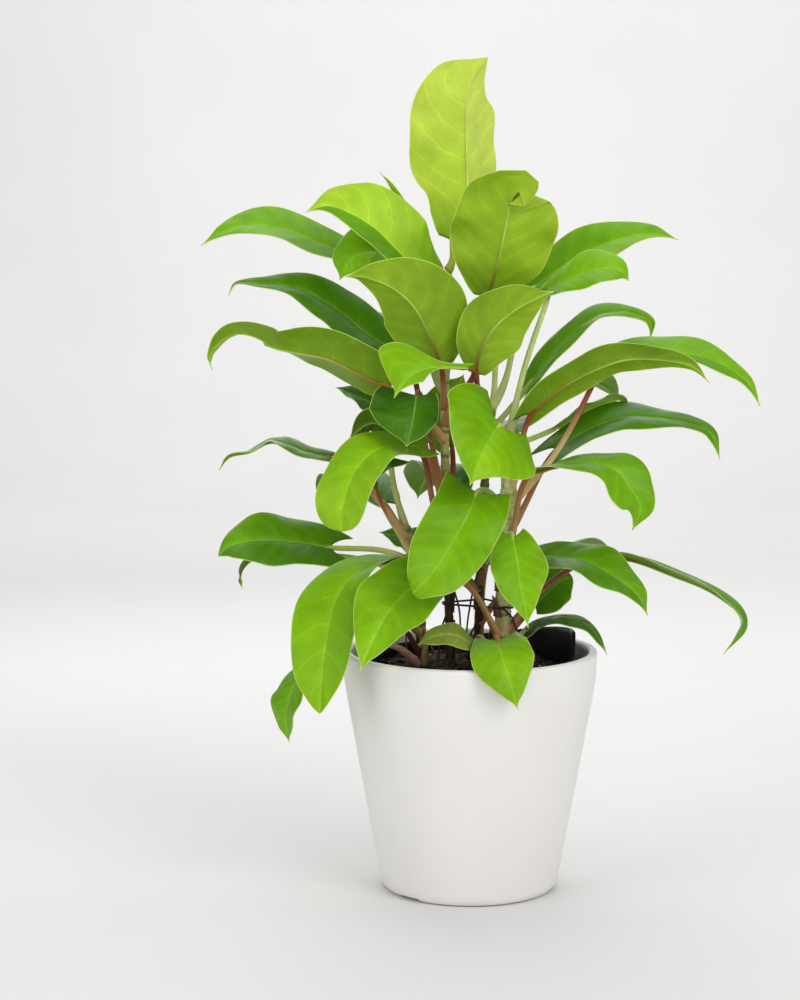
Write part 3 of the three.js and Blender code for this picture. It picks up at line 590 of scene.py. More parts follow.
# Where the columns of a blade's mesh lie, from the midrib to the margin
COLUMN_PLACES = [0, 0.03, 0.08, 0.16, 0.27, 0.4, 0.53, 0.66, 0.78, 0.88, 0.95, 0.985, 1]
BLADE_ACROSS = 2 * len(COLUMN_PLACES) - 2
BLADE_ALONG = 56
LEAST_HALF_WIDTH = 0.35
RIB_RADIUS = 1.1
PETIOLE_RADIUS = 2.3
LOBE_SHARE_OF_BLADE = 0.35
PETIOLE_JOINS_BLADE_AT = 0.06
RIB_ENDS_AT = 0.97
# Off the blade, further from the midrib and the margin than any point on it
FAR_OFF = 99


def blade_outline(t, widest, heel, rise, blunt):
    """Half the blade's width at t, from 0 at the base to 1 at the tip, as a share of the greatest."""
    if t < widest:
        return heel + (1 - heel) * math.sin(0.5 * math.pi * t / widest) ** rise
    beyond = (t - widest) / (1 - widest)
    return max(1 - beyond ** (1.9 + 1.3 * blunt), 0) ** (1.15 - 0.65 * blunt)


class Leaf:
    """One leaf's midrib, petiole and the small differences that make it its own."""

    def __init__(self, number, facts):
        self.facts = facts
        self.midrib = smooth_route(facts["midrib"])
        self.face = Vector(facts["face"]).normalized()
        self.face_tip = Vector(facts["face_tip"]).normalized()
        self.fold = math.radians(facts["fold"])
        chance = random.Random(number)
        self.wave_size = facts.get("wave", chance.uniform(0.06, 0.11))
        self.wave_count = chance.uniform(1.8, 2.8)
        self.wave_starts = (chance.random(), chance.random())
        self.droop = chance.uniform(0.02, 0.12)
        self.pale_side = chance.uniform(-0.06, 0.06)
        self.petiole = self.petiole_route()

    def petiole_route(self):
        """It leaves the stem upwards and outwards, and comes in along the midrib."""
        facts = self.facts
        start = stem_point(facts["stem"], facts["at"])
        end = self.midrib.at(PETIOLE_JOINS_BLADE_AT)
        if "via" in facts:
            return smooth_route([start, facts["via"], end])
        span = (end - start).length
        leaving = Vector((end.x - start.x, end.y - start.y, 0)).normalized() * 0.25 * span
        leaving.z = 0.3 * span
        arriving = self.midrib.along(0.006, 0.006) * 0.3 * span
        return bent_route(start, start + leaving, end - arriving, end)

    def frame_at(self, t):
        """A point of the midrib, the way along it, the way that the blade faces and the way across."""
        along = self.midrib.along(t)
        up = self.face.lerp(self.face_tip, t)
        up = (up - along * up.dot(along)).normalized()
        return self.midrib.at(t), along, up, along.cross(up)

    def half_width(self, t, across):
        """How far the margin is from the midrib, on the left where across is below 0."""
        facts = self.facts
        own_share = facts["halves"][0 if across < 0 else 1]
        outline = blade_outline(t, facts["widest"], facts["heel"], facts["rise"], facts["blunt"])
        drip_tip = 1 - 0.35 * smooth_step(0.84, 0.96, t) * (1 - max(facts["blunt"], 0))
        return max(0.5 * facts["width"] * own_share * outline * drip_tip, LEAST_HALF_WIDTH)

    def blade_point(self, t, across, layer, frame_here):
        """A point of the upper side, layer 1, or the underside, layer -1: folded and drooping, waved at the
        margin, puffed up between the side veins and grooved along the midrib."""
        point, along, up, side = frame_here
        half = self.half_width(t, across)
        out = abs(across)
        wave_start = self.wave_starts[0 if across < 0 else 1]
        wave = self.wave_size * out ** 2 * math.sin(math.tau * (self.wave_count * t + wave_start))
        wave *= math.sin(math.pi * min(max(t, 0), 1)) ** 0.5
        vein = self.vein_place(t, across) * VEIN_COUNT
        puff = 0.4 * (0.5 + 0.5 * math.cos(math.tau * vein)) * (1 - out ** 6) * smooth_step(0.03, 0.2, out)
        groove = 0.5 * math.exp(-(across * half / 0.9) ** 2)
        fold = math.sin(self.fold)
        lift = half * (fold * (1.3 * out - 0.3 * out ** 2) - self.droop * out ** 3 + wave)
        reach = across * half * math.cos(self.fold)
        lobe = self.facts["lobe"] * self.midrib.length * across * across * max(0, 1 - t / LOBE_SHARE_OF_BLADE)
        thin = 1 - 0.5 * out ** 4
        through = 0.5 * BLADE_THICKNESS * layer * thin + puff * min(1, half / 8) - groove
        return point + side * reach + up * (lift + through) - along * lobe

    def vein_place(self, t, across):
        """Where a point lies between the side veins, which lean towards the tip as they run outwards."""
        lean = VEIN_LEAN * 0.5 * self.facts["width"] / self.midrib.length
        return t - lean * abs(across) ** 1.25

    def blade_colour(self, t, across, layer):
        # Tones given for the halves are painted shade below 0 and painted light above; else a small random
        # difference
        half_tones = self.facts.get("half_tones", (self.pale_side, -self.pale_side))
        tone = self.facts["tone"] + half_tones[0 if across < 0 else 1] + 0.14 * (t - 0.5)
        tone = min(max(tone, 0), 1)
        base = tone_colour(UPPER_TONES if layer > 0 else UNDER_TONES, tone)
        base = base.lerp(colour(WILTED), self.facts["wilt"])
        # A lighter band along the upper side's midrib: its paler colour there, with a painted highlight
        midrib_pale_and_highlight = 0.16 * math.exp(-(across / 0.16) ** 2) if layer > 0 else 0
        dark_base = 0.1 * (1 - smooth_step(0, 0.25, t))
        return (*(base * (1 + midrib_pale_and_highlight - dark_base - 0.06 * abs(across))), 1)

    def rib_colour(self, t, layer):
        if layer > 0:
            own = self.blade_colour(t, 0, layer)
            return (*Vector(own[:3]).lerp(colour(PALE_RIB), 0.34 - 0.16 * t), 1)
        rib = tone_colour(UNDER_TONES, self.facts["tone"]).lerp(colour(PALE_RIB), 0.4)
        if self.facts["petiole"] in ("red", "tan"):
            rib = rib.lerp(colour(RIB_RED), 0.9 * (1 - smooth_step(0.05, 0.7, t)))
        return (*rib, 1)


def column_place(x):
    """Columns stand close together at the midrib and at the margin."""
    step = round(abs(x) * (len(COLUMN_PLACES) - 1))
    return math.copysign(COLUMN_PLACES[step], x)


def add_blade(bm, layers, leaf):
    """The blade is a thin closed shell, bent from a flat one."""
    sheet = bmesh.ops.create_grid(bm, x_segments=BLADE_ACROSS, y_segments=BLADE_ALONG, size=1)
    verts, middle = thicken(bm, sheet, 1)
    bmesh.ops.recalc_face_normals(bm, faces=bm.faces)
    sheet_map = bm.loops.layers.uv.verify()
    frames = [leaf.frame_at(i / BLADE_ALONG) for i in range(BLADE_ALONG + 1)]
    for vert in verts:
        across = column_place(vert.co.x)
        t = 0.5 * (vert.co.y + 1)
        layer = 1 if vert.co.z > middle else -1
        for loop in vert.link_loops:
            loop[sheet_map].uv = (0.5 * (across + 1), leaf.vein_place(t, across))
        half = leaf.half_width(t, across)
        vert.co = leaf.blade_point(t, across, layer, frames[round(t * BLADE_ALONG)]) * MM
        vert[layers["skin"]] = leaf.blade_colour(t, across, layer)
        vert[layers["rib_tint"]] = leaf.rib_colour(t, layer)
        vert[layers["reach"]] = Vector((abs(across) * half, (1 - abs(across)) * half, t))


def add_petiole_and_rib(bm, layers, leaf):
    """The petiole runs on under the blade as its midrib, so both are one tapering tube."""
    size = min(1, leaf.facts["width"] / 30)
    steps = 24
    rib_steps = 26
    points = [leaf.petiole.at(i / steps) for i in range(steps)]
    for i in range(rib_steps + 1):
        t = PETIOLE_JOINS_BLADE_AT + (RIB_ENDS_AT - PETIOLE_JOINS_BLADE_AT) * i / rib_steps
        point, _, up, _ = leaf.frame_at(t)
        knee = 1 - smooth_step(0, 0.12, t)
        points.append(point - up * (0.5 + size * (RIB_RADIUS * (1 - t) ** 0.8 + 0.9 * knee)))
    rib_length = (RIB_ENDS_AT - PETIOLE_JOINS_BLADE_AT) * leaf.midrib.length
    petiole_share = leaf.petiole.length / (leaf.petiole.length + rib_length)
    route = Route(points)
    foot, stalk = [colour(text) for text in PETIOLE_COLOURS[leaf.facts["petiole"]]]
    under = tone_colour(UNDER_TONES, leaf.facts["tone"])
    rib_start = stalk.lerp(under, 0.25)

    def radius_at(share, angle):
        if share < petiole_share:
            down = share / petiole_share
            sheath = 1.3 * (1 - smooth_step(0, 0.35, down))
            knee = 0.9 * smooth_step(0.9, 1, down)
            return size * (PETIOLE_RADIUS + sheath - 0.4 * down - knee) * (1 - 0.08 * math.cos(2 * angle))
        t = (share - petiole_share) / (1 - petiole_share)
        return size * max(RIB_RADIUS * (1 - t) ** 0.8, 0.12)

    def colour_at(share, angle):
        if share < petiole_share:
            down = share / petiole_share
            tint = foot.lerp(stalk, smooth_step(0.25, 0.9, down))
            tint = tint.lerp(under, 0.2 * smooth_step(0.8, 1, down))
            # One side of the petiole is painted lighter and the other darker: a painted highlight and shade
            return (*(tint * (1 + 0.12 * math.cos(angle))), 0)
        t = (share - petiole_share) / (1 - petiole_share)
        return (*rib_start.lerp(colour(PALE_RIB).lerp(under, 0.5), smooth_step(0, 0.55, t)), 0)

    tube = add_tube(bm, layers["skin"], route, 10, 56, radius_at, colour_at)
    for vert in tube:
        vert[layers["reach"]] = Vector((FAR_OFF, FAR_OFF, 0))


def make_leaf(number, name, facts, materials):
    leaf = Leaf(number, facts)
    bm, _ = new_skinned()
    bm.verts.layers.float_color.new("rib_tint")
    bm.verts.layers.float_vector.new("reach")
    # Each new layer moves the others, so they are looked up once all are there
    layers = {layer: bm.verts.layers.float_color[layer] for layer in ("skin", "rib_tint")}
    layers["reach"] = bm.verts.layers.float_vector["reach"]
    add_blade(bm, layers, leaf)
    add_petiole_and_rib(bm, layers, leaf)
    finish_piece(name + "_grown", bm, materials[SLOTS[name]], SLOTS[name], name)


# The distance between two nodes of a cane, in millimetres
NODE_GAP = 17
# The colour of each cane at some heights above the table
STEM_COLOURS = {
    "left": [(100, "4a3526"), (160, "a8805c"), (200, "a08a54"), (270, "9c9650")],
    "middle": [(100, "35261b"), (210, "4a3423"), (280, "7a6c46"), (300, "a3a55e"), (345, "bcc474"),
        (440, "a6bc58")],
    "back": [(100, "2e2118"), (220, "503a26"), (350, "85844c")],
    "right": [(100, "4a3526"), (165, "8a7048"), (195, "b4ae72"), (250, "c6ca86"), (325, "d0d892")],
}


def make_stem(name, material):
    """A cane with swollen nodes and a dark scar under each one."""
    radius, points = STEMS[name]
    route = stem_route(name)
    rings = route.length / NODE_GAP
    chance = random.Random(name)
    offset = chance.random()
    bands = STEM_COLOURS[name]
    dark = colour("2e2016")
    bm, skin = new_skinned()

    def radius_at(share, angle):
        along = share * rings + offset
        ring = math.exp(-((along % 1 - 0.5) / 0.09) ** 2)
        dip = 0.5 - 0.5 * math.cos(math.tau * along)
        bumps = 0.25 * noise.noise(round_about(angle, 12 * share) * 1.7)
        tip = 1 - 0.7 * smooth_step(0.985, 1, share)
        return (radius * (0.96 + 0.16 * ring - 0.05 * dip) + bumps) * tip

    def colour_at(share, angle):
        along = share * rings + offset
        scar = math.exp(-((along % 1 - 0.42) / 0.06) ** 2)
        patch = 0.5 + 0.5 * noise.noise(round_about(angle, 9 * share) * 2.1)
        tint = tone_colour(bands, route.at(share).z + 14 * (patch - 0.5))
        aged = 1 - 0.65 * smooth_step(190, 215, route.at(share).z) * (name == "right")
        return (*(tint * (0.8 + 0.4 * patch)).lerp(dark, 0.75 * scar * aged), 0)

    add_tube(bm, skin, route, 16, 24 * len(points), radius_at, colour_at)
    finish_piece(f"stem_{name}_cane", bm, material, "stem", f"stem_{name}")


# How far up its cane each dry sheath starts, and how much of the cane's top has none
SHEATH_STARTS = (30, 47, 66, 84, 108, 133)
SHEATH_FREE_TOP = 20


def make_dry_sheaths(material):
    """Papery brown remains of old leaf bases, wrapped round the canes."""
    chance = random.Random(7)
    bm, skin = new_skinned()
    for name, (radius, _) in STEMS.items():
        route = stem_route(name)
        for start in SHEATH_STARTS:
            if start <= route.length - SHEATH_FREE_TOP:
                add_dry_sheath(bm, skin, route, radius, start, chance)
    finish_piece("dry_sheaths", bm, material, "stem")


# Cut and wilted leaf stalks at the foot of the left cane: the route, the radius and the colour of each
OLD_STALKS = [
    ([(-35, -2, 158), (-40, -7, 164), (-48, -11, 171), (-56, -13, 175)], 3.6, "b58c78"),
    ([(-34, -3, 162), (-38, -6, 172), (-43, -9, 182), (-47, -10, 188)], 2.6, "55211a"),
    ([(-33, -4, 158), (-32, -7, 168), (-29, -9, 180)], 2.8, "8f8a52"),
]


def make_old_stalks(material):
    bm, skin = new_skinned()
    for points, thick, tint in OLD_STALKS:
        own = colour(tint)

        def radius_at(share, angle):
            return thick * (1 - 0.45 * share) * (1 + 0.08 * math.cos(3 * angle + 9 * share))

        def colour_at(share, angle):
            return (*(own * (0.7 + 0.5 * share)), 0)

        add_tube(bm, skin, smooth_route(points), 10, 14, radius_at, colour_at)
    finish_piece("old_stalks", bm, material, "stem")


def add_dry_sheath(bm, skin, route, radius, start, chance):
    """One thin scale: wide at its foot, narrow and ragged where it stands off the cane."""
    tall = chance.uniform(11, 20)
    turn = chance.uniform(0, math.tau)
    wrap = chance.uniform(0.7, 1.4)
    flare = chance.uniform(0.6, 2.2)
    tint = colour(chance.choice(["6b4a2c", "8f6b44", "4d3423", "a98558"]))
    grid = bmesh.ops.create_grid(bm, x_segments=10, y_segments=8, size=1)
    verts, middle = thicken(bm, grid, 0.1)
    for vert in verts:
        x, share = vert.co.x, 0.5 * (vert.co.y + 1)
        shell = 0.25 if vert.co.z > middle else 0
        narrow = 1 - 0.75 * share ** 1.5
        angle = turn + wrap * x * narrow
        place = (start + tall * share) / route.length
        point, along = route.at(place), route.along(place)
        first = Vector((1, 0, 0)).cross(along).normalized()
        second = along.cross(first)
        ragged = 0.5 * noise.noise(Vector((3 * x, 4 * share, start)))
        away = radius + 0.5 + shell + flare * share ** 2 + ragged
        vert.co = (point + (first * math.cos(angle) + second * math.sin(angle)) * away) * MM
        vert[skin] = (*(tint * chance.uniform(0.75, 1.15)), 0)
    bmesh.ops.recalc_face_normals(bm, faces=faces_of(bm, verts))


# Aerial roots: the stem and the height where each one starts, and its place in the mix
AERIAL_ROOTS = [
    ("middle", 196, (-22, 2, 158)), ("middle", 222, (-6, 4, 157)), ("back", 206, (16, 18, 158)),
    ("back", 188, (-2, 16, 157)), ("right", 188, (12, -14, 158)), ("right", 206, (34, -8, 159)),
    ("left", 186, (-26, -12, 158)), ("left", 200, (-46, -4, 157)), ("back", 230, (0, 30, 158)),
]


def make_aerial_roots(material):
    """Thin brown roots that leave the nodes and run down into the mix."""
    chance = random.Random(11)
    bm, skin = new_skinned()
    for stem, height, end in AERIAL_ROOTS:
        start = stem_point(stem, height)
        end = Vector(end)
        outwards = Vector((end.x - start.x, end.y - start.y, 0))
        bend = start.lerp(end, 0.35) + (end - start).normalized() * 3
        bend += outwards * 0.45
        late = start.lerp(end, 0.75) + Vector((chance.uniform(-3, 3), chance.uniform(-3, 3), 0))
        late += outwards * 0.2
        tint = colour(chance.choice(["4a3422", "2e2118", "7a5b3a"]))
        route = smooth_route([start, bend, late, end, end - Vector((0, 0, 8))])
        add_tube(bm, skin, route, 6, 22, lambda share, angle: 0.8 - 0.25 * share,
            lambda share, angle, tint=tint: (*(tint * (1 - 0.4 * share)), 0))
    finish_piece("aerial_roots", bm, material, "stem")


def tie_reach(stems, height, angle):
    """The wire lies on whichever stem is furthest that way."""
    out = round_about(angle, 0)
    posts = [(stem_point(name, height), STEMS[name][0]) for name in stems]
    middle, radius = max(posts, key=lambda post: post[0].dot(out) + post[1])
    return Vector((middle.x, middle.y, height)) + out * (radius + 0.3 + WIRE_RADIUS)


WIRE_BLACK = (0.02, 0.02, 0.02, 0)
TIE_STEPS = 72
TWIST_AT = -0.6 * math.pi
TWIST_LENGTH = 9
TWIST_SINKS = 5
TWIST_HALF_TURNS = 5
TWIST_STEPS = 39
STEMS_MIDDLE = (0, 12)


def add_wire(bm, skin, points, sides, steps, radius):
    add_tube(bm, skin, Route(points), sides, steps, lambda share, angle: radius,
        lambda share, angle: WIRE_BLACK)


def make_tie(name, stems, height, material):
    """A loop round the stems, whose two ends are twisted together."""
    bm, skin = new_skinned()
    turns = [math.tau * i / TIE_STEPS for i in range(TIE_STEPS + 1)]
    loop = [tie_reach(stems, height + 0.5 * math.sin(3 * turn), TWIST_AT + turn) for turn in turns]
    add_wire(bm, skin, loop, 8, 120, 0.95 * WIRE_RADIUS)
    start = loop[0]
    out = (start - Vector((*STEMS_MIDDLE, height))).normalized()
    for turn in (0, math.pi):
        twist = []
        for i in range(TWIST_STEPS + 1):
            share = i / TWIST_STEPS
            around = turn + TWIST_HALF_TURNS * math.pi * share
            spread = 0.8 * WIRE_RADIUS * (1 + 1.4 * smooth_step(0.75, 1, share))
            twist.append(start + out * TWIST_LENGTH * share + Vector((0, 0, -TWIST_SINKS * share * share))
                + Vector((math.sin(around) * spread, 0, math.cos(around) * spread)))
        add_wire(bm, skin, twist, 6, 60, 0.6 * WIRE_RADIUS)
    finish_piece(name + "_twisted", bm, material, "wire", name)


def spin_profile(bm, profile, steps):
    """Turns a closed outline in the XZ plane round the Z axis."""
    verts = [bm.verts.new((x * MM, 0, z * MM)) for x, z in profile]
    edges = [bm.edges.new(pair) for pair in zip(verts, verts[1:])]
    bmesh.ops.spin(bm, geom=verts + edges, cent=(0, 0, 0), axis=(0, 0, 1), dvec=(0, 0, 0),
        angle=math.tau, steps=steps, use_merge=True)
    bmesh.ops.remove_doubles(bm, verts=bm.verts, dist=1e-6)
    bmesh.ops.recalc_face_normals(bm, faces=bm.faces)


def rounded(profile, times=3):
    """Cuts the corners of an outline again and again, so that it runs smoothly."""
    for _ in range(times):
        cut = [profile[0]]
        for (x0, z0), (x1, z1) in zip(profile, profile[1:]):
            cut.append((0.75 * x0 + 0.25 * x1, 0.75 * z0 + 0.25 * z1))
            cut.append((0.25 * x0 + 0.75 * x1, 0.25 * z0 + 0.75 * z1))
        cut.append(profile[-1])
        profile = cut
    return profile


def make_cover_pot(material):
    """A turned wall of even thickness under a thicker lip, on a shallow foot ring."""
    inner_rim = POT_RIM_RADIUS - POT_LIP
    profile = rounded([
        (0, 0.9), (POT_FOOT_RADIUS - 14, 0.9), (POT_FOOT_RADIUS - 12, 0), (POT_FOOT_RADIUS, 0),
        (POT_HEEL_RADIUS - 2.4, 1.2), (POT_HEEL_RADIUS - 0.2, POT_HEEL_HEIGHT), (72, 54), (80, 98),
        (POT_COLLAR_RADIUS, POT_COLLAR_BASE), (POT_COLLAR_RADIUS + 1.1, POT_COLLAR_BASE + 8),
        (POT_RIM_RADIUS, POT_HEIGHT - 5), (POT_RIM_RADIUS + 0.1, POT_HEIGHT + 0.6),
        (inner_rim + 0.2, POT_HEIGHT + 0.4), (inner_rim, POT_HEIGHT - 8),
        (POT_COLLAR_RADIUS - POT_WALL, POT_COLLAR_BASE), (POT_HEEL_RADIUS - POT_WALL, POT_HEEL_HEIGHT),
        (POT_HEEL_RADIUS - POT_WALL - 5, POT_FLOOR), (0, POT_FLOOR),
    ])
    bm = bmesh.new()
    spin_profile(bm, profile, 192)
    for vert in bm.verts:
        cut_foot_notch(vert)
    finish_piece("cover_pot_glazed", bm, material, "cover_pot", "cover_pot")


def cut_foot_notch(vert):
    """Lifts what lies in one of the shallow notches under the foot."""
    x, y, z = vert.co / MM
    for degrees in FOOT_NOTCH_ANGLES:
        turn = math.radians(degrees)
        out = x * math.cos(turn) + y * math.sin(turn)
        aside = abs(y * math.cos(turn) - x * math.sin(turn))
        if out > FOOT_NOTCH_START and aside < FOOT_NOTCH_HALF_WIDTH and z < FOOT_NOTCH_HEIGHT:
            vert.co.z = FOOT_NOTCH_HEIGHT * MM


def flap_rise(angle):
    """How far the soft nursery pot's rim is pushed up at an angle round it: a flap on the right that
    ends steeply at the front and fades out towards the back."""
    degrees = math.degrees(angle)
    if degrees < 0:
        return NURSERY_FLAP_RISE * max(0, 1 + degrees / NURSERY_FLAP_FRONT_ANGLE)
    share = min(1, degrees / NURSERY_FLAP_BACK_ANGLE)
    return NURSERY_FLAP_RISE * (0.5 + 0.5 * math.cos(math.pi * share))


def nursery_radius(height):
    share = (height - NURSERY_BASE) / (NURSERY_RIM_HEIGHT - NURSERY_BASE)
    return NURSERY_BASE_RADIUS + share * (NURSERY_RIM_RADIUS - NURSERY_BASE_RADIUS)


def make_nursery_pot(material):
    """A thin tapered pot with a rolled rim."""
    rim = NURSERY_RIM_RADIUS
    top = NURSERY_RIM_HEIGHT
    outside = [(nursery_radius(z), z) for z in (NURSERY_BASE, 40, 80, 120, 140, 150, 156)]
    inside = [(x - NURSERY_WALL, z) for x, z in reversed(outside[1:])]
    profile = [(0, NURSERY_BASE)] + outside + [
        (rim - 0.6, top - 5), (rim + 0.6, top - 4.4), (rim + 0.8, top - 1), (rim, top),
        (rim - NURSERY_WALL, top), (rim - NURSERY_WALL - 0.3, top - 3),
    ] + inside + [(NURSERY_BASE_RADIUS - NURSERY_WALL, NURSERY_BASE + 2), (0, NURSERY_BASE + 2)]
    bm = bmesh.new()
    spin_profile(bm, profile, 128)
    for vert in bm.verts:
        shape_nursery_rim(vert)
    finish_piece("nursery_pot_moulded", bm, material, "nursery_pot", "nursery_pot")


def shape_nursery_rim(vert):
    """Lifts the flap and buckles the thin wall a little towards the rim."""
    x, y, z = vert.co / MM
    angle = math.atan2(y, x)
    near_rim = smooth_step(MIX_EDGE_HEIGHT, NURSERY_RIM_HEIGHT - 4, z)
    vert.co.z += near_rim * flap_rise(angle) * MM
    buckle = 0.5 * near_rim * noise.noise(Vector((2.5 * math.cos(angle), 2.5 * math.sin(angle), 1)))
    vert.co.x += buckle * math.cos(angle) * MM
    vert.co.y += buckle * math.sin(angle) * MM


MIX_RINGS = 44
MIX_SPOKES = 120


def mix_height(x, y):
    """The height of the mix: a low mound, pressed down at the edge, with crumbs and hollows."""
    edge = nursery_radius(MIX_EDGE_HEIGHT) - NURSERY_WALL - 0.5
    share = math.hypot(x, y) / edge
    mound = MIX_EDGE_HEIGHT + MIX_MOUND * (1 - share ** 2)
    place = Vector((x, y, 0))
    rough = 1.5 * noise.fractal(place / 14, 0.8, 2, 3) + 0.9 * noise.fractal(place / 4, 0.7, 2, 4)
    return mound + rough - 0.8


def make_potting_mix(material):
    """A dark plug that fills the nursery pot, with a rough top."""
    edge = nursery_radius(MIX_EDGE_HEIGHT) - NURSERY_WALL - 0.4
    bm, skin = new_skinned()
    grid = bmesh.ops.create_grid(bm, x_segments=MIX_SPOKES, y_segments=MIX_RINGS, size=1)
    for vert in grid["verts"]:
        angle = math.pi * vert.co.x
        radius = edge * 0.5 * (vert.co.y + 1)
        x, y = radius * math.cos(angle), radius * math.sin(angle)
        vert.co = Vector((x, y, mix_height(x, y))) * MM
        shade = 0.5 + 0.5 * noise.noise(Vector((x, y, 3)) / 3)
        vert[skin] = (*colour("0f0b08").lerp(colour("2a1f15"), shade), 0)
    bmesh.ops.remove_doubles(bm, verts=bm.verts, dist=1e-7)
    rim = [e for e in bm.edges if e.is_boundary]
    down = bmesh.ops.extrude_edge_only(bm, edges=rim)
    floor = NURSERY_BASE + 2.3
    shrink = (nursery_radius(floor) - NURSERY_WALL - 0.5) / edge
    for vert in new_corners(down):
        vert.co = Vector((vert.co.x * shrink, vert.co.y * shrink, floor * MM))
    bmesh.ops.holes_fill(bm, edges=[e for e in bm.edges if e.is_boundary], sides=0)
    bmesh.ops.recalc_face_normals(bm, faces=bm.faces)
    finish_piece("potting_mix_crumb", bm, material, "potting_mix", "potting_mix")


def scatter_lumps(name, count, seed, sizes, tints, material):
    """Small lumps, each turned and squashed by chance, lying on the mix."""
    chance = random.Random(seed)
    bm, skin = new_skinned()
    edge = nursery_radius(MIX_EDGE_HEIGHT) - NURSERY_WALL - 4
    for _ in range(count):
        radius = edge * math.sqrt(chance.random())
        turn = chance.uniform(0, math.tau)
        x, y = radius * math.cos(turn), radius * math.sin(turn)
        size = Vector([chance.uniform(*span) for span in sizes])
        spin = Matrix.Rotation(chance.uniform(0, math.tau), 4, "Z")
        lean = Matrix.Rotation(chance.uniform(-0.5, 0.5), 4, "X")
        lean = lean @ Matrix.Rotation(chance.uniform(-0.5, 0.5), 4, "Y")
        place = Matrix.Translation(Vector((x, y, mix_height(x, y) + 0.35 * size.z)) * MM)
        lump = bmesh.ops.create_icosphere(bm, subdivisions=2, radius=MM)
        tint = colour(chance.choice(tints)) * chance.uniform(0.8, 1.2)
        for vert in lump["verts"]:
            corner = vert.co.normalized()
            boxy = max(abs(corner.x), abs(corner.y), abs(corner.z))
            knock = 1 + 0.35 * noise.noise(corner * 1.6 + Vector((x, y, 0)))
            vert.co = corner / boxy ** 0.6 * knock * MM
            vert.co = Vector((vert.co.x * size.x, vert.co.y * size.y, vert.co.z * size.z))
            vert[skin] = (*tint, 0)
        bmesh.ops.transform(bm, matrix=place @ spin @ lean, verts=lump["verts"])
    finish_piece(name, bm, material, "potting_mix")


def make_camera():
    data = bpy.data.cameras.new("view")
    data.lens = CAMERA_LENS
    data.sensor_width = CAMERA_SENSOR
    data.clip_start = 0.05
    camera = bpy.data.objects.new("view", data)
    camera.location = CAMERA_PLACE
    camera.rotation_euler = (math.pi / 2 - CAMERA_TILT_DOWN, 0, CAMERA_TURN_LEFT)
    scene.collection.objects.link(camera)
    scene.camera = camera


# Soft lights: the place, what each one shines at, its size, all in metres, and its power in watts
PLANT_MIDDLE = (0, 0, 0.3)
LIGHTS = {
    "window_right": ((1.3, -1.5, 1.5), PLANT_MIDDLE, (1.4, 1.4), 25),
    "window_left": ((-1.5, -1.2, 1.0), PLANT_MIDDLE, (1.2, 1.4), 11),
    "front": ((0.1, -2.3, 0.9), PLANT_MIDDLE, (1.6, 1.0), 9),
    "ceiling": ((0.1, 0.4, 2.0), PLANT_MIDDLE, (1.8, 1.6), 14),
    "back_glow": ((-0.3, 1.0, 1.0), (0, 0, 0.4), (1.4, 0.9), 5),
    "wall_glow": ((0, 2.0, 2.1), (0, 3.3, 0.5), (3.0, 0.8), 37),
}
AIR_COLOUR = (0.93, 0.96, 1, 1)
AIR_STRENGTH = 0.4


def make_studio():
    world = bpy.data.worlds.new("studio_air")
    world.use_nodes = True
    air = world.node_tree.nodes["Background"]
    air.inputs["Color"].default_value = AIR_COLOUR
    air.inputs["Strength"].default_value = AIR_STRENGTH
    scene.world = world
    for name, (place, target, size, power) in LIGHTS.items():
        data = bpy.data.lights.new(name, "AREA")
        data.shape = "RECTANGLE"
        data.size, data.size_y = size
        data.energy = power
        light = bpy.data.objects.new(name, data)
        light.location = place
        light.rotation_euler = (Vector(target) - Vector(place)).to_track_quat("-Z", "Y").to_euler()
        scene.collection.objects.link(light)


# The backdrop, in metres: its floor starts to rise well behind the plant, so that a view from the back
# still sees the plant
FLOOR_REACH = 4.0
WALL_START = 2.5
WALL_SWEEP = 1.0
WALL_HEIGHT = 4.0
SWEEP_STEPS = 16


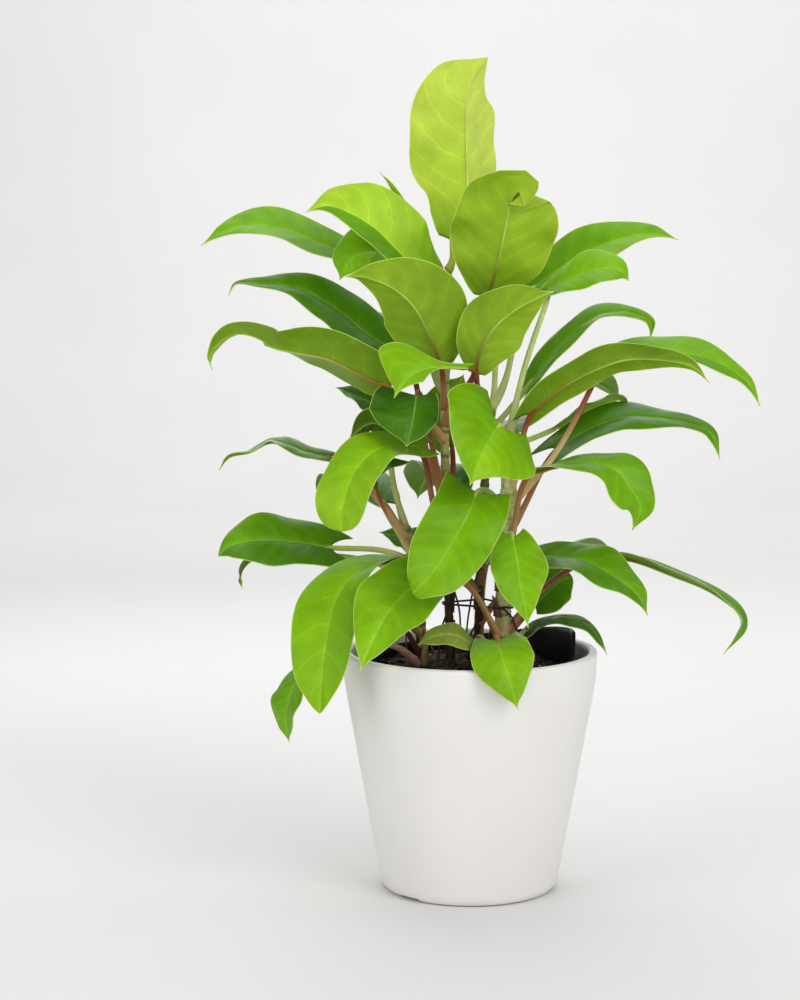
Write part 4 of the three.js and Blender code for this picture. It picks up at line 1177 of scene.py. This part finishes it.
def make_backdrop():
    """A pale floor that sweeps up into a wall."""
    bm = bmesh.new()
    line = [(-FLOOR_REACH, 0), (WALL_START, 0)]
    for i in range(1, SWEEP_STEPS + 1):
        turn = 0.5 * math.pi * i / SWEEP_STEPS
        line.append((WALL_START + WALL_SWEEP * math.sin(turn), WALL_SWEEP * (1 - math.cos(turn))))
    line.append((WALL_START + WALL_SWEEP, WALL_HEIGHT))
    verts = [bm.verts.new((-FLOOR_REACH, y, z)) for y, z in line]
    edges = [bm.edges.new(pair) for pair in zip(verts, verts[1:])]
    side = bmesh.ops.extrude_edge_only(bm, edges=edges)
    bmesh.ops.translate(bm, vec=(2 * FLOOR_REACH, 0, 0), verts=list(new_corners(side)))
    material, tree, shader = new_material("pale_matt_paint", Roughness=0.9)
    paints = add_mix(tree, add_clouds(tree, 3, 0, 1), (0.71, 0.70, 0.69, 1), (0.73, 0.72, 0.71, 1))
    tree.links.new(paints, shader.inputs["Base Color"])
    floor = finish_object("pale_floor", bm, material)


make_camera()
make_studio()
make_backdrop()

make_cover_pot(glaze_material())
make_nursery_pot(nursery_material())
crumb = crumb_material()
make_potting_mix(crumb)
scatter_lumps("bark_chips", 230, 3, [(1.8, 4.6), (1.4, 3.2), (0.7, 1.6)],
    ["2b1d12", "3c2917", "523a22", "1d140d"], crumb)
scatter_lumps("pale_grains", 60, 5, [(0.7, 1.5), (0.7, 1.5), (0.6, 1.2)],
    ["b8ab94", "8f8575", "cfc6b4"], crumb)

bark = stem_material()
for stem_name in STEMS:
    make_stem(stem_name, bark)
make_dry_sheaths(bark)
make_old_stalks(bark)
make_aerial_roots(bark)
wire = wire_material()
for tie_name, (tied, tie_height) in TIES.items():
    make_tie(tie_name, tied, tie_height, wire)

leaf_materials = {
    "leaf_young": leaf_material("young_leaf_skin", 0.42, 0.02),
    "leaf_bright": leaf_material("bright_leaf_skin", 0.36, 0.03),
    "leaf_deep": leaf_material("deep_leaf_skin", 0.34, 0.1),
}
for leaf_number, leaf_facts in enumerate(LEAVES, 1):
    make_leaf(leaf_number, f"leaf_{leaf_number:02d}", leaf_facts, leaf_materials)
